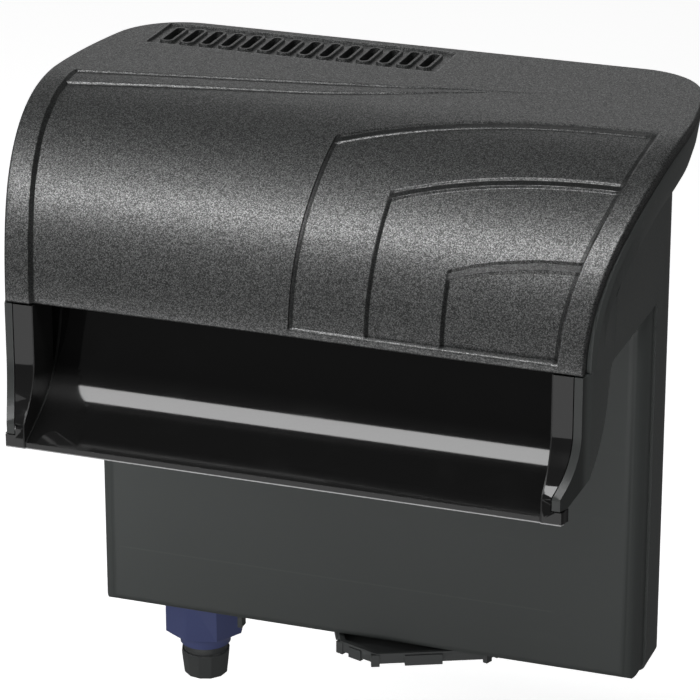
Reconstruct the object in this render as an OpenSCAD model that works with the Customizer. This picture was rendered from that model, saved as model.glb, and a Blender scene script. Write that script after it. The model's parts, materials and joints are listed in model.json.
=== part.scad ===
// Hang-on-back aquarium power filter, in millimetres.
// Origin: middle of the deck's underside, which rests on the tank rim.
// X points right, Y to the back of the filter, Z up.

/* [Lid] */
// Half of the lid's greatest width
lid_half_w = 108.5; // [107:0.1:111]
// Plan radius of the lid's bulged sides
lid_side_r = 205; // [200:1:215]
// Place of the lid's greatest width
lid_wide_y = 18; // [14:1:22]
// Front edge of the lid
lid_front_y = -50; // [-52:0.5:-48]
// Back edge of the lid
lid_back_y = 83; // [82:0.5:86]
// Radius of the lid's back corners
lid_corner_r = 25; // [22:1:32]
// Height of the lid's lower front edge
lid_low_z = 5; // [4.5:0.1:6]
// Height of the lid's flat top
lid_top_z = 62.8; // [60:0.2:66]
// Radius of the lid's front curve
lid_front_r = 50; // [48:0.5:51]
// Radius of the lid's upper curve
lid_top_r = 84.9; // [82:0.1:90]
// Thickness of the lid
lid_wall = 3; // [2.8:0.1:3.4]
// Depth of the lid's edge
lid_skirt = 3.8; // [3.6:0.1:5]
// Space between the lid's edge and the body
lid_gap = 0.3; // [0.2:0.05:0.5]
// Width of the two locating tabs inside the lid
tab_w = 20; // [12:1:30]
// Length of the locating tabs
tab_h = 12; // [8:1:16]

/* [Lid relief] */
// Width of the raised border along the sides
border_w = 8; // [7:0.5:9]
// Depth of each terrace
terrace_step = 0.75; // [0.5:0.05:0.8]
// Left edge of the first terrace
terrace_x = 0; // [-2:0.5:2]
// Sideways step from terrace to terrace
terrace_pitch = 25; // [22:0.5:27]
// Plan radius of the terraces' upper edges
terrace_r = 200; // [190:1:210]
// Place of the highest point of those edges
terrace_peak_x = 93; // [90:0.5:96]
// Width of the sloping ledge at each upper edge
ledge_w = 3; // [2:0.1:3.5]
// Depth of the large left panel
panel_sink = 0.5; // [0.3:0.05:0.7]
// Place of the left panel's upper edge on the middle line
panel_y = 36; // [34:0.5:38]
// Rise of that edge, in parts of its run
panel_slope = 0.16; // [0.12:0.01:0.18]
// Right end of the left panel
panel_end_x = 60; // [50:1:66]
// Width of the vent field
vent_w = 104; // [100:1:108]
// Depth of the vent field, front to back
vent_d = 23; // [21:0.5:24]
// Middle of the vent field, sideways
vent_x = -38; // [-42:0.5:-34]
// Middle of the vent field, front to back
vent_y = 67; // [65:0.5:68]
// Number of vent slots
vent_slots = 14; // [10:1:14]
// Spacing of the vent slots
vent_pitch = 7.1; // [6.8:0.1:7.2]
// Width of a vent slot
slot_w = 3.2; // [2.4:0.1:3.4]
// Length of a vent slot
slot_l = 15; // [12:0.5:16]
// Rim round each vent slot
slot_rim = 0.9; // [0.6:0.1:1.1]
// Depth of the vent field
vent_sink = 1; // [0.6:0.1:1.2]

/* [Body] */
// How far the body's skin stays inside the lid's widest point
body_inset = 10; // [9.5:0.1:10.5]
// Back face of the body
body_back_y = 73; // [72:0.5:76]
// Radius of the body's back corners
body_corner_r = 30; // [26:0.5:31]
// Wall of the body
body_wall = 2.5; // [2:0.1:2.8]
// Underside of the box
box_bottom_z = -134; // [-138:0.5:-131]
// Front face of the box
box_front_y = 23; // [22.5:0.1:23.5]
// How far the box sides lie inside the skin
box_inset = 1; // [0.8:0.1:1.5]
// Where the rear skin steps out from the box sides
box_step_y = 32; // [31:0.5:36]
// Radius of the box's front upright corners
box_corner_r = 6; // [5:0.5:7]
// Radius of the box's lower edges
box_edge_r = 3; // [2.5:0.5:4]
// Thickness of the box floor
floor_t = 3; // [2.6:0.1:4]
// Thickness of the deck over the tank rim
deck_t = 3; // [2.5:0.1:3.5]
// Groove between the lid's edge and the flange below it
rim_groove = 0.5; // [0.4:0.05:0.8]
// Height of the flange under the lid's edge
rim_h = 3; // [2:0.1:4]
// Height of the flare under that flange
flare_h = 20; // [16:0.5:24]

/* [Spillway] */
// Front end of the flat deck
deck_front_y = -19.6; // [-21:0.1:-18.5]
// Radius under the bend at the deck's front
bend_r = 5; // [4:0.5:6]
// Steepness of the drop behind the spout, degrees
drop_angle = 76; // [74:1:78]
// Straight length of that drop
drop_len = 5.4; // [4.5:0.1:6.5]
// Radius of the sweep under the spout
sweep_r = 42.8; // [42:0.2:43.6]
// Slope of the spout plate at its lip, degrees
spout_angle = 27; // [26:0.5:28]
// Radius of the sweep under the side skin
skin_r = 30; // [29:0.5:32]
// Slope of the side skin's lower edge, degrees
skin_angle = 28; // [26:0.5:30]
// Front end of the side skin
skin_front_y = -56; // [-57:0.1:-55]
// Front of the spout's lip
lip_y = -59.2; // [-60:0.1:-58.5]
// Height of the lip's front face
lip_h = 2.1; // [1.6:0.1:2.6]
// Radius that the cheeks' front edges end in
cheek_r = 27; // [25:0.5:29]
// Drop of the cheeks' front edges
cheek_drop = 36; // [34:0.5:38]
// Run of the cheeks' front edges towards the tank
cheek_run = 7.9; // [7.4:0.1:8.4]
// From the body's side to a cheek's inner face
cheek_inset = 11.5; // [10.5:0.5:13.5]
// Depth of the cheeks behind the lid's front edge
cheek_d = 15; // [12:0.5:18]
// Groove between the cheeks and the skin
cheek_gap = 1; // [0.8:0.1:1.2]

/* [Cartridge] */
// Thickness of the cartridge frame
frame_t = 4; // [3:0.1:5]
// Thickness of each floss pad
floss_t = 3; // [2:0.1:3.2]
// Height of the cartridge frame
frame_h = 118; // [110:1:122]
// Width of the frame's bars
frame_bar = 7; // [5:0.5:9]
// Number of carbon pockets
pockets = 4; // [2:1:6]
// Sliding space round the cartridge
slide_gap = 0.6; // [0.4:0.1:0.8]
// Space round the fillings
fill_gap = 0.3; // [0.2:0.05:0.5]
// Height of the ledge under the cartridge, above the box floor
ledge_h = 17; // [16:0.5:20]
// Width of the pull tab
pull_w = 60; // [40:1:80]
// Height of the pull tab
pull_h = 14; // [10:0.5:18]

/* [Motor] */
// From the body's left side to the motor's axis
motor_inset = 28; // [26.5:0.5:29.5]
// Motor axis, front to back
motor_y = 53; // [52.5:0.1:53.5]
// Motor housing across its flats
housing_af = 27.2; // [27:0.1:28]
// Length of the housing's straight sides
housing_h = 21; // [20:0.5:24]
// Length of the housing's hollow taper
taper_h = 4; // [3.6:0.1:4.6]
// Turn of the housing's flats at rest, degrees
housing_turn = 15; // [0:1:20]
// Radius of the can's spigot
spigot_r = 14.8; // [14.4:0.1:15]
// Length of the spigot inside the box
spigot_h = 15.8; // [15:0.1:16.4]
// Turning space round the spigot
turn_gap = 0.4; // [0.3:0.05:0.5]
// Wall of the motor collar
collar_wall = 3.8; // [3.4:0.1:4.2]
// Reach of the bayonet lugs
lug_reach = 2.4; // [1.8:0.1:2.6]
// Height of the bayonet lugs
lug_h = 3.4; // [3:0.1:4]
// Angle of each bayonet lug, degrees
lug_angle = 24; // [18:1:30]
// Unlocking turn, degrees
twist = 28; // [24:1:30]
// Radius of the rotor well
well_r = 6.9; // [6.7:0.1:7.2]
// Wall of the rotor well
well_wall = 1.2; // [1:0.05:1.4]
// Wall of the housing cup
cup_wall = 1.7; // [1.5:0.1:1.8]
// Radius of the shaft
shaft_r = 1.5; // [1.3:0.05:1.7]
// Running clearance on the shaft
run_gap = 0.05; // [0.03:0.01:0.08]
// Radius of the magnet
magnet_r = 6.3; // [6:0.05:6.4]
// Length of the magnet
magnet_h = 23; // [20:0.5:24]
// Radius of the impeller
impeller_r = 11.5; // [10.5:0.1:12]
// Height of the impeller blades
blade_h = 7.4; // [6:0.1:8]
// Number of impeller blades
blades = 6; // [4:1:8]
// Section radius of the motor seal
seal_r = 1.1; // [0.9:0.05:1.2]
// Section radius of the riser seal
riser_seal_r = 0.7; // [0.6:0.05:0.8]
// Top corner radius of the many-sided cord gland
gland_r = 9.1; // [8.6:0.1:9.4]
// Bottom corner radius of the cord gland
gland_low_r = 7.9; // [7.4:0.1:8.4]
// Length of the cord gland
gland_h = 11; // [10:0.5:13]
// Radius of the cord inlet
cord_r = 3.2; // [2.6:0.1:3.6]

/* [Intake] */
// Inner radius of the intake riser
riser_r = 9.2; // [8.8:0.1:9.6]
// Wall of the intake riser
riser_wall = 2; // [1.6:0.1:2.4]
// Radius of the socket for the intake tube
socket_r = 11; // [10.6:0.1:11.4]
// Depth of that socket
socket_d = 20; // [16:0.5:24]
// Height of the socket's mouth
socket_z = 34; // [28:0.5:40]

/* [Leveller] */
// Pivot of the leveller, sideways
pivot_x = 14; // [12:0.5:18]
// Pivot of the leveller, front to back
pivot_y = 46; // [45:0.5:47]
// Height of the leveller's rim
cam_h = 3.8; // [3.6:0.1:4.6]
// Thickness of the leveller's plate
cam_plate = 1.4; // [1.2:0.1:1.6]
// Width of the leveller's rim
cam_rim = 1.8; // [1.5:0.1:2.2]
// Space between the leveller and the box
cam_gap = 0.3; // [0.3:0.05:0.6]
// Radius of the pivot screw's shoulder
shoulder_r = 2.5; // [2.2:0.1:3]
// Radius of the pivot screw's thread
thread_r = 2; // [1.6:0.1:2.1]
// Radius of the pivot screw's head
head_r = 5; // [4.5:0.1:5.5]
// Thickness of the friction washer
washer_t = 0.8; // [0.6:0.1:1.2]

/* [Hidden] */
$fn = 96;
far = 400;
eps = 0.01;
snug = 0.1;

// Lid: plan arcs and profile arcs
body_half_w = lid_half_w - body_inset;
cheek_half_w = body_half_w - cheek_inset;
motor_x = motor_inset - body_half_w;
side_cx = lid_half_w - lid_side_r;
corner_cy = lid_back_y - lid_corner_r;
corner_cx = side_cx + sqrt(pow(lid_side_r - lid_corner_r, 2) - pow(corner_cy - lid_wide_y, 2));
corner_a = atan2(corner_cy - lid_wide_y, corner_cx - side_cx);
edge_a = asin((lid_front_y - 10 - lid_wide_y) / lid_side_r);
corner_step = (90 - corner_a) / 12;
front_c = [lid_front_y + lid_front_r, lid_low_z];
top_cz = lid_top_z - lid_top_r;
flat_y = front_c[0] + sqrt(pow(lid_top_r - lid_front_r, 2) - pow(lid_low_z - top_cz, 2));
top_c = [flat_y, top_cz];
blend_a = atan2(front_c[1] - top_c[1], front_c[0] - top_c[0]);
blend_step = (blend_a - 90) / 20;
rest_d = lid_skirt + lid_gap;
terrace_peak_y = [19, -11.8, -37.5];
terrace_low_z = lid_low_z + 3.2;
terrace_low_y = 4;

// Body
box_half_w = body_half_w - box_inset;
flare_steps = 2;
rim_inset = 0.4;
flare_in = lid_half_w - body_half_w - rim_inset;
body_cx = body_half_w - body_corner_r;
body_cy = body_back_y - body_corner_r;
floor_z = box_bottom_z + floor_t;
tab_y = body_back_y - 2 * body_wall - turn_gap;
bend_c = [deck_front_y, -bend_r];
drop_end = bend_c + bend_r * [-sin(drop_angle), cos(drop_angle)]
    - drop_len * [cos(drop_angle), sin(drop_angle)];
deck_top_z = deck_t;
wing_top_z = lid_low_z - lid_gap;
cheek_a = acos(1 - cheek_run / cheek_r);
cheek_low_z = deck_top_z - cheek_drop;
cheek_c = [lid_front_y - cheek_r, cheek_low_z + cheek_r * sin(cheek_a)];
lip_z = slope_end(deck_t, spout_angle, lip_y, sweep_r)[1] - lip_h;
block_y = lip_y - 0.4;
block_h = 4.4;
foot = [1.6, 4, 4.5];
foot_at = [-47.5, box_front_y + box_edge_r];

// Cartridge
cart_half_w = box_half_w - body_wall - slide_gap;
cart_y = box_front_y + body_wall + slide_gap;
cart_t = frame_t + 2 * floss_t;
rail_t = 2;
cart_z = floor_z + ledge_h + fill_gap;
ledge_z = floor_z + ledge_h - rail_t;
rail_y = cart_y + cart_t + slide_gap;
rail_reach = 4;
pocket_w = (2 * cart_half_w - (pockets + 1) * frame_bar) / pockets;
pocket_h = frame_h - 2 * frame_bar;

// Motor, from the box floor down
collar_r = spigot_r + turn_gap;
collar_out_r = collar_r + collar_wall;
spigot_z = box_bottom_z - lid_gap;
can_top_z = spigot_z + spigot_h;
collar_top_z = can_top_z + 0.5;
lug_z = can_top_z - 9.6;
groove_z = can_top_z - 2.8;
housing_r = housing_af / 2 / cos(22.5);
cup_r = housing_af / 2 - cup_wall;
housing_low_z = spigot_z - housing_h;
neck_z = housing_low_z - taper_h;
cup_floor_z = housing_low_z + 2.6;
well_low_z = cup_floor_z + 2.9;
stator_in_r = well_r + well_wall + snug;
stator_out_r = cup_r - snug;
stator_z = cup_floor_z + 1.2;
stator_top_z = spigot_z - 0.6;
core_t = 1;
bush_h = 2.4;
magnet_z = well_low_z + bush_h + lid_gap;
sleeve_r = shaft_r + run_gap + 1;
disc_z = can_top_z + 0.7;
disc_t = 1.8;
blade_z = disc_z + disc_t;
blade_top_z = blade_z + blade_h;
cover_in_z = blade_top_z + 1.2;
cover_t = 3;
cover_in_r = impeller_r + 1.5;
cover_out_r = cover_in_r + 2;
cover_top_z = cover_in_z + cover_t;
neck_h = 8;
neck_r = riser_r - snug;
eye_r = neck_r - 2.6;
spider_r = 3.8;
upper_bush_r = 2.8;
shaft_top_z = cover_top_z;
gland_z = neck_z - 1.5;
gland_low_z = gland_z - gland_h;
gland_neck_r = 7.6;
gland_turn = 4.5;
gland_sides = 12;
thread_hole_r = 6;

// Leveller
pivot = [pivot_x, pivot_y];
cam_top_z = box_bottom_z - cam_gap;
cam_low_z = cam_top_z - cam_h;
cam_flats = [30, 26, 25, 28, 30, 31.6, 26, 32.8];
cam_first_a = 25;
cam_corners = [for (i = [0:7]) flat_corner(cam_first_a + 45 * i, cam_flats[i], cam_flats[(i + 1) % 8])];
cam_hub_r = 7;
boss_r = 5;
boss_h = 5;

// Corner of two flats at distances d0 and d1 from the pivot, 45 degrees apart, the first facing angle a
function flat_corner(a, d0, d1) =
    [d0 * sin(a + 45) - d1 * sin(a), d1 * cos(a) - d0 * cos(a + 45)] / sin(45);

// Points of an arc from angle a0 to a1, in n steps
function arc(c, r, a0, a1, n = 10) =
    [for (i = [0:n]) let (a = a0 + (a1 - a0) * i / n) c + r * [cos(a), sin(a)]];

// Middle of a sweep of radius r after the drop
function sweep_c(r) = drop_end + r * [-sin(drop_angle), cos(drop_angle)];

// Start of the straight slope after the sweep, d above the underside
function slope_start(d, slope, r) = sweep_c(r) + (r - d) * [sin(slope), -cos(slope)];

// End of that slope at place y
function slope_end(d, slope, y, r) =
    let (e = slope_start(d, slope, r))
    [y, e[1] - (e[0] - y) * tan(slope)];

// Place where that slope reaches height z
function slope_at_z(d, slope, z, r) =
    let (e = slope_start(d, slope, r))
    [e[0] - (e[1] - z) / tan(slope), z];

// Side view of the spout's underside, d above it, from the deck's front to an end point
function spout_path(d, slope, end, r) = concat(
    arc(bend_c, bend_r + d, 90, 90 + drop_angle),
    arc(sweep_c(r), r - d, drop_angle - 90, slope - 90, 16),
    [end]);

// Right half of the lid's plan outline, set in by d, from the front to the back
function lid_edge(d) = concat(
    arc([side_cx, lid_wide_y], lid_side_r - d, edge_a, corner_a, 24),
    arc([corner_cx, corner_cy], lid_corner_r - d, corner_a + corner_step, 90, 11));

function reverse(list) = [for (i = [len(list) - 1:-1:0]) list[i]];

module prism(z0, z1) translate([0, 0, z0]) linear_extrude(z1 - z0) children();

module along_x(half) rotate([90, 0, 90]) linear_extrude(2 * half, center = true) children();

module along_y(y0, y1) translate([0, y1, 0]) rotate([90, 0, 0]) linear_extrude(y1 - y0) children();

module at_motor() translate([motor_x, motor_y, 0]) children();

module tube(r_out, r_in, z0, z1) difference() {
    translate([0, 0, z0]) cylinder(r = r_out, h = z1 - z0);
    translate([0, 0, z0 - 1]) cylinder(r = r_in, h = z1 - z0 + 2);
}

module sector(r, a0, a1)
    polygon([[0, 0], 2 * r * [cos(a0), sin(a0)], 2 * r * [cos((a0 + a1) / 2), sin((a0 + a1) / 2)],
        2 * r * [cos(a1), sin(a1)]]);

module pair() for (a = [0, 180]) rotate(a) children();

// Plan outline of the lid, set in by d
module side_lens(d) intersection_for (s = [-1, 1])
    translate([s * side_cx, lid_wide_y]) circle(r = lid_side_r - d, $fn = 360);

module lid_plan(d) polygon(concat(lid_edge(d), [for (p = reverse(lid_edge(d))) [-p[0], p[1]]]));

// Side view of the space under the lid's outer surface, set in by d
module lid_profile(d) polygon(concat(
    arc(front_c, lid_front_r - d, 180, blend_a, 24),
    arc(top_c, lid_top_r - d, blend_a - blend_step, 90, 19),
    [[lid_back_y + 1, lid_top_z - d], [lid_back_y + 1, lid_low_z]]));

// Layer of the lid's outer surface down to depth d
module lid_layer(d) along_x(far) difference() {
    lid_profile(0);
    lid_profile(d);
}

// Plan of one terrace: right of x0 and in front of an arc whose highest point is at y0
module terrace_plan(x0, y0) intersection() {
    lid_plan(border_w);
    translate([x0, -far]) square([far, 2 * far]);
    union() {
        translate([terrace_peak_x, y0 - terrace_r]) circle(r = terrace_r, $fn = 360);
        translate([terrace_peak_x, y0 - far]) square([far, far]);
        translate([x0, y0 - terrace_r - far]) square([far, far]);
    }
}

module terrace(k) {
    x0 = terrace_x + k * terrace_pitch;
    y0 = terrace_peak_y[k];
    intersection() {
        prism(terrace_low_z, lid_top_z + 1) terrace_plan(x0, y0);
        lid_layer((k + 0.5) * terrace_step);
    }
    intersection() {
        prism(terrace_low_z, lid_top_z + 1) terrace_plan(x0 + ledge_w / 2, y0 - ledge_w);
        lid_layer((k + 1) * terrace_step);
    }
}

// Large shallow panel at the left, in front of a line that rises to the right
module left_panel() intersection() {
    prism(lid_low_z - 1, lid_top_z + 1) intersection() {
        lid_plan(border_w);
        polygon([[-far, panel_y - far * panel_slope], [panel_end_x, panel_y + panel_end_x * panel_slope],
            [terrace_x - ledge_w, terrace_low_y], [terrace_x - ledge_w, -far], [-far, -far]]);
    }
    lid_layer(panel_sink);
}

module slot(w, l) {
    square([w, l - w], center = true);
    for (s = [-1, 1]) translate([0, s * (l - w) / 2]) circle(d = w, $fn = 24);
}

module at_slots() for (i = [0:vent_slots - 1])
    translate([vent_x + (i - (vent_slots - 1) / 2) * vent_pitch, vent_y]) children();

module vent() {
    difference() {
        translate([vent_x - vent_w / 2, vent_y - vent_d / 2, lid_top_z - vent_sink])
            cube([vent_w, vent_d, vent_sink + 1]);
        prism(lid_top_z - vent_sink - 1, lid_top_z - 0.2)
            at_slots() slot(slot_w + 2 * slot_rim, slot_l + 2 * slot_rim);
    }
    prism(lid_top_z - 2 * lid_skirt, lid_top_z + 1) at_slots() slot(slot_w, slot_l);
}

module lid() color([0.22, 0.23, 0.23]) {
    difference() {
        intersection() {
            prism(lid_low_z, lid_top_z + 1) lid_plan(0);
            lid_layer(lid_skirt);
        }
        intersection() {
            prism(lid_low_z - 1, lid_top_z) lid_plan(lid_wall);
            along_x(far) lid_profile(lid_wall);
        }
        for (k = [0:2]) terrace(k);
        left_panel();
        vent();
    }
    for (s = [-1, 1])
        translate([s * body_cx / 2 - tab_w / 2, tab_y, lid_top_z - lid_wall - tab_h])
            cube([tab_w, body_wall, tab_h + eps]);
}

// Plan of the body's skin, set in by d
module skin_plan(d) intersection() {
    side_lens(d);
    round_back(body_half_w, body_corner_r, -far, body_back_y, d);
}

module round_back(half, r, y0, y1, d) {
    translate([d - half, y0]) square([2 * (half - d), y1 - r - y0]);
    translate([r - half, y0]) square([2 * (half - r), y1 - d - y0]);
    for (s = [-1, 1]) translate([s * (half - r), y1 - r]) circle(r = r - d);
}

module box_plan(d) intersection() {
    round_back(box_half_w, body_corner_r - box_inset, box_front_y + d, body_back_y, d);
    union() {
        translate([-far, box_front_y + box_corner_r]) square([2 * far, far]);
        translate([box_corner_r - box_half_w, box_front_y + d])
            square([2 * (box_half_w - box_corner_r), far]);
        for (s = [-1, 1]) translate([s * (box_half_w - box_corner_r), box_front_y + box_corner_r])
            circle(r = box_corner_r - d, $fn = 48);
    }
}

// Upright outline from u0 to u1 with rounded lower corners
module tub(u0, u1, z1) {
    translate([u0, box_bottom_z + box_edge_r]) square([u1 - u0, z1 - box_bottom_z - box_edge_r]);
    translate([u0 + box_edge_r, box_bottom_z]) square([u1 - u0 - 2 * box_edge_r, box_edge_r + eps]);
    for (u = [u0 + box_edge_r, u1 - box_edge_r])
        translate([u, box_bottom_z + box_edge_r]) circle(r = box_edge_r);
}

// Side view of the skin: wings over the deck, and the strip that goes down at the back
module skin_profile() {
    lid_profile(rest_d);
    translate([lid_front_y + rest_d + 0.6, 1]) square([body_back_y - lid_front_y - 10, lid_low_z + 1]);
    polygon(concat(
        [[body_back_y, wing_top_z], [body_back_y, 0]],
        spout_path(0, skin_angle, slope_end(0, skin_angle, skin_front_y, skin_r), skin_r),
        arc(cheek_c, cheek_r, -cheek_a, 0),
        [[lid_front_y, wing_top_z]]));
    intersection() {
        tub(box_step_y - far, body_back_y, lid_low_z + 1);
        translate([box_step_y, -far]) square([far, 2 * far]);
    }
}

// Flange under the lid's edge, and the flare below it in steps
module rim_flare() for (k = [0:flare_steps]) intersection() {
    prism(lid_low_z, lid_top_z) lid_plan(rim_inset + k * flare_in / (flare_steps + 1));
    along_x(far) difference() {
        lid_profile(rest_d + rim_groove);
        lid_profile(rest_d + rim_groove + rim_h + k * flare_h / flare_steps);
    }
}

module bayonet_ring(r, grow, z0, z1, from, to) prism(z0, z1) intersection() {
    circle(r = r);
    pair() sector(r, from - grow, to + grow);
}

// Hole through the floor and collar for the motor, with its bayonet tracks
module motor_seat() at_motor() {
    play = 1.5;
    track_r = spigot_r + lug_reach + turn_gap;
    translate([0, 0, box_bottom_z - 1]) cylinder(r = collar_r, h = far);
    bayonet_ring(track_r, play, lug_z - lid_gap, lug_z + lug_h + lid_gap, 0, lug_angle + twist);
    bayonet_ring(track_r, play, box_bottom_z - 1, lug_z + lid_gap, twist, twist + lug_angle);
}

module filter_body() color([0.25, 0.26, 0.26]) difference() {
    union() {
        difference() {
            union() {
                intersection() {
                    prism(box_bottom_z, lid_top_z) skin_plan(0);
                    along_x(far) skin_profile();
                    along_y(-far, far) tub(-body_half_w, body_half_w, lid_top_z);
                }
                intersection() {
                    prism(box_bottom_z, deck_top_z) box_plan(0);
                    along_x(far) tub(box_front_y, body_back_y, lid_top_z);
                    along_y(-far, far) tub(-box_half_w, box_half_w, lid_top_z);
                }
                rim_flare();
            }
            prism(deck_top_z, lid_top_z + 1) skin_plan(body_wall);
            prism(floor_z, deck_top_z + 1) box_plan(body_wall);
            prism(-far, deck_top_z + 1) intersection() {
                skin_plan(body_wall);
                translate([-far, -far]) square([2 * far, far + deck_front_y]);
            }
        }
        cartridge_seat();
        at_motor() translate([0, 0, floor_z - eps])
            cylinder(r = collar_out_r, h = collar_top_z - floor_z + eps);
        translate([pivot_x, pivot_y, floor_z - eps]) cylinder(r = boss_r, h = boss_h);
        translate([foot_at[0], foot_at[1], box_bottom_z - foot[2]]) cube([foot[0], foot[1], foot[2] + eps]);
    }
    motor_seat();
    translate([pivot_x, pivot_y, box_bottom_z - 1])
        cylinder(r = thread_r + run_gap, h = floor_t + boss_h - 1);
}

// Ledge under the cartridge and the two rails behind it
module cartridge_seat() {
    inside = box_half_w - body_wall + eps;
    intersection() {
        prism(floor_z, deck_top_z) box_plan(body_wall - eps);
        union() {
            translate([-inside, box_front_y, ledge_z]) cube([2 * inside, rail_y - box_front_y, rail_t]);
            for (x = [-inside, inside - rail_reach]) translate([x, rail_y, ledge_z])
                cube([rail_reach, rail_t, deck_top_z - cart_z]);
        }
    }
}

// Gloss spout plate with a cheek and a foot block at each end
module spillway_chute() color([0.07, 0.07, 0.075]) {
    spout();
    intersection() {
        prism(lip_z, lip_z + block_h) skin_plan(cheek_gap / 4);
        for (s = [-1, 1]) translate([s * (cheek_half_w + 6) - 6, block_y, lip_z - 1]) cube([12, 4.5, far]);
    }
}

module spout() intersection() {
    prism(-far, far) skin_plan(body_wall + cheek_gap);
    difference() {
        along_x(far) polygon(concat(
            [[deck_front_y, wing_top_z]],
            spout_path(0, spout_angle, slope_at_z(0, spout_angle, lip_z, sweep_r), sweep_r),
            [[block_y, lip_z], [block_y, cheek_low_z - 1.5]],
            arc(cheek_c, cheek_r, -cheek_a, 0),
            [[lid_front_y, wing_top_z]]));
        along_x(cheek_half_w) water_side();
        along_x(far) intersection() {
            water_side();
            translate([lid_front_y + cheek_d, -far]) square([far, 2 * far]);
        }
    }
}

// Side view of the space above the spout plate
module water_side() polygon(concat(
    [[deck_front_y + 1, far], [deck_front_y + 1, deck_top_z]],
    spout_path(deck_t, spout_angle, slope_end(deck_t, spout_angle, lip_y, sweep_r), sweep_r),
    [[lip_y, lip_z - 1], [block_y - 1, lip_z - 1], [block_y - 1, far]]));

module at_pockets() for (i = [0:pockets - 1])
    translate([-cart_half_w + frame_bar + i * (pocket_w + frame_bar), cart_z + frame_bar]) children();

module cartridge_frame() color([0.12, 0.22, 0.36])
    along_y(cart_y + floss_t, cart_y + floss_t + frame_t) difference() {
        union() {
            translate([-cart_half_w, cart_z]) square([2 * cart_half_w, frame_h]);
            translate([-pull_w / 2, cart_z + frame_h - eps]) square([pull_w, pull_h]);
        }
        at_pockets() square([pocket_w, pocket_h]);
        translate([-pull_w / 3, cart_z + frame_h + pull_h / 4]) square([2 * pull_w / 3, pull_h / 2]);
    }

module floss(y0) along_y(y0, y0 + floss_t)
    translate([floss_t - cart_half_w, cart_z + floss_t])
        square([2 * (cart_half_w - floss_t), frame_h - 2 * floss_t]);

module floss_front() color([0.86, 0.9, 0.92]) floss(cart_y);

module floss_back() color([0.86, 0.9, 0.92]) floss(cart_y + floss_t + frame_t);

module carbon_fill() color([0.05, 0.05, 0.05])
    along_y(cart_y + floss_t + fill_gap, cart_y + floss_t + frame_t - fill_gap)
        at_pockets() translate([fill_gap, fill_gap])
            square([pocket_w - 2 * fill_gap, pocket_h - 2 * fill_gap]);

module intake_riser() color([0.16, 0.17, 0.17]) at_motor() difference() {
    union() {
        translate([0, 0, cover_top_z]) cylinder(r = riser_r + riser_wall, h = socket_z - cover_top_z);
        translate([0, 0, socket_z - socket_d - riser_wall])
            cylinder(r = socket_r + riser_wall, h = socket_d + riser_wall);
    }
    translate([0, 0, cover_top_z - 1]) cylinder(r = riser_r, h = far);
    translate([0, 0, socket_z - socket_d]) cylinder(r = socket_r, h = far);
}

module ring_seal(r, section) rotate_extrude() translate([r - section, 0]) circle(r = section, $fn = 32);

module riser_seal() color([0.08, 0.08, 0.08]) at_motor()
    translate([0, 0, cover_top_z + neck_h / 2]) ring_seal(riser_r - eps, riser_seal_r);

module pump_cover() color([0.16, 0.17, 0.17]) at_motor() difference() {
    union() {
        translate([0, 0, collar_top_z]) cylinder(r = cover_out_r, h = cover_top_z - collar_top_z);
        translate([0, 0, cover_top_z - eps]) cylinder(r = neck_r, h = neck_h);
    }
    translate([0, 0, collar_top_z - 1]) cylinder(r = cover_in_r, h = cover_in_z - collar_top_z + 1);
    difference() {
        translate([0, 0, cover_in_z - 1]) cylinder(r = eye_r, h = far);
        translate([0, 0, cover_in_z]) intersection() {
            cylinder(r = eye_r + 1, h = cover_t);
            union() {
                cylinder(r = spider_r, h = cover_t);
                for (a = [0:120:240]) rotate(a) translate([0, -0.8, 0]) cube([eye_r + 1, 1.6, cover_t]);
            }
        }
    }
    translate([0, 0, cover_in_z - 1]) cylinder(r = upper_bush_r + snug, h = cover_t + 2);
    translate([0, -cover_in_r / 2, disc_z]) cube([far, cover_in_r, blade_top_z - disc_z]);
    translate([0, 0, cover_top_z + neck_h / 2]) tube_groove(neck_r, 2 * riser_seal_r, riser_seal_r + snug);
}

// Ring cut from an outer face of radius r
module tube_groove(r, depth, half_h) tube(r + 1, r - depth, -half_h, half_h);

module upper_bush() color([0.6, 0.6, 0.58]) at_motor()
    tube(upper_bush_r, shaft_r + run_gap, cover_in_z, cover_top_z - 0.5);

module impeller() color([0.75, 0.76, 0.78]) at_motor() difference() {
    union() {
        translate([0, 0, magnet_z]) cylinder(r = sleeve_r, h = blade_top_z + 0.6 - magnet_z);
        translate([0, 0, disc_z]) cylinder(r = impeller_r, h = disc_t);
        for (i = [0:blades - 1]) rotate(i * 360 / blades) translate([0, -0.7, blade_z - eps])
            cube([impeller_r - 0.2, 1.4, blade_h + eps]);
        translate([0, 0, magnet_z + magnet_h])
            cylinder(r = magnet_r - 1, h = disc_z - magnet_z - magnet_h + eps);
    }
    translate([0, 0, magnet_z - 1]) cylinder(r = shaft_r + run_gap, h = far);
}

module rotor_magnet() color([0.2, 0.2, 0.21]) at_motor()
    tube(magnet_r, sleeve_r + snug, magnet_z, magnet_z + magnet_h);

module impeller_shaft() color([0.9, 0.9, 0.88]) at_motor()
    translate([0, 0, well_low_z]) cylinder(r = shaft_r, h = shaft_top_z - well_low_z);

module lower_bush() color([0.1, 0.1, 0.1]) at_motor()
    tube(well_r - snug, shaft_r + run_gap, well_low_z, well_low_z + bush_h);

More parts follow.
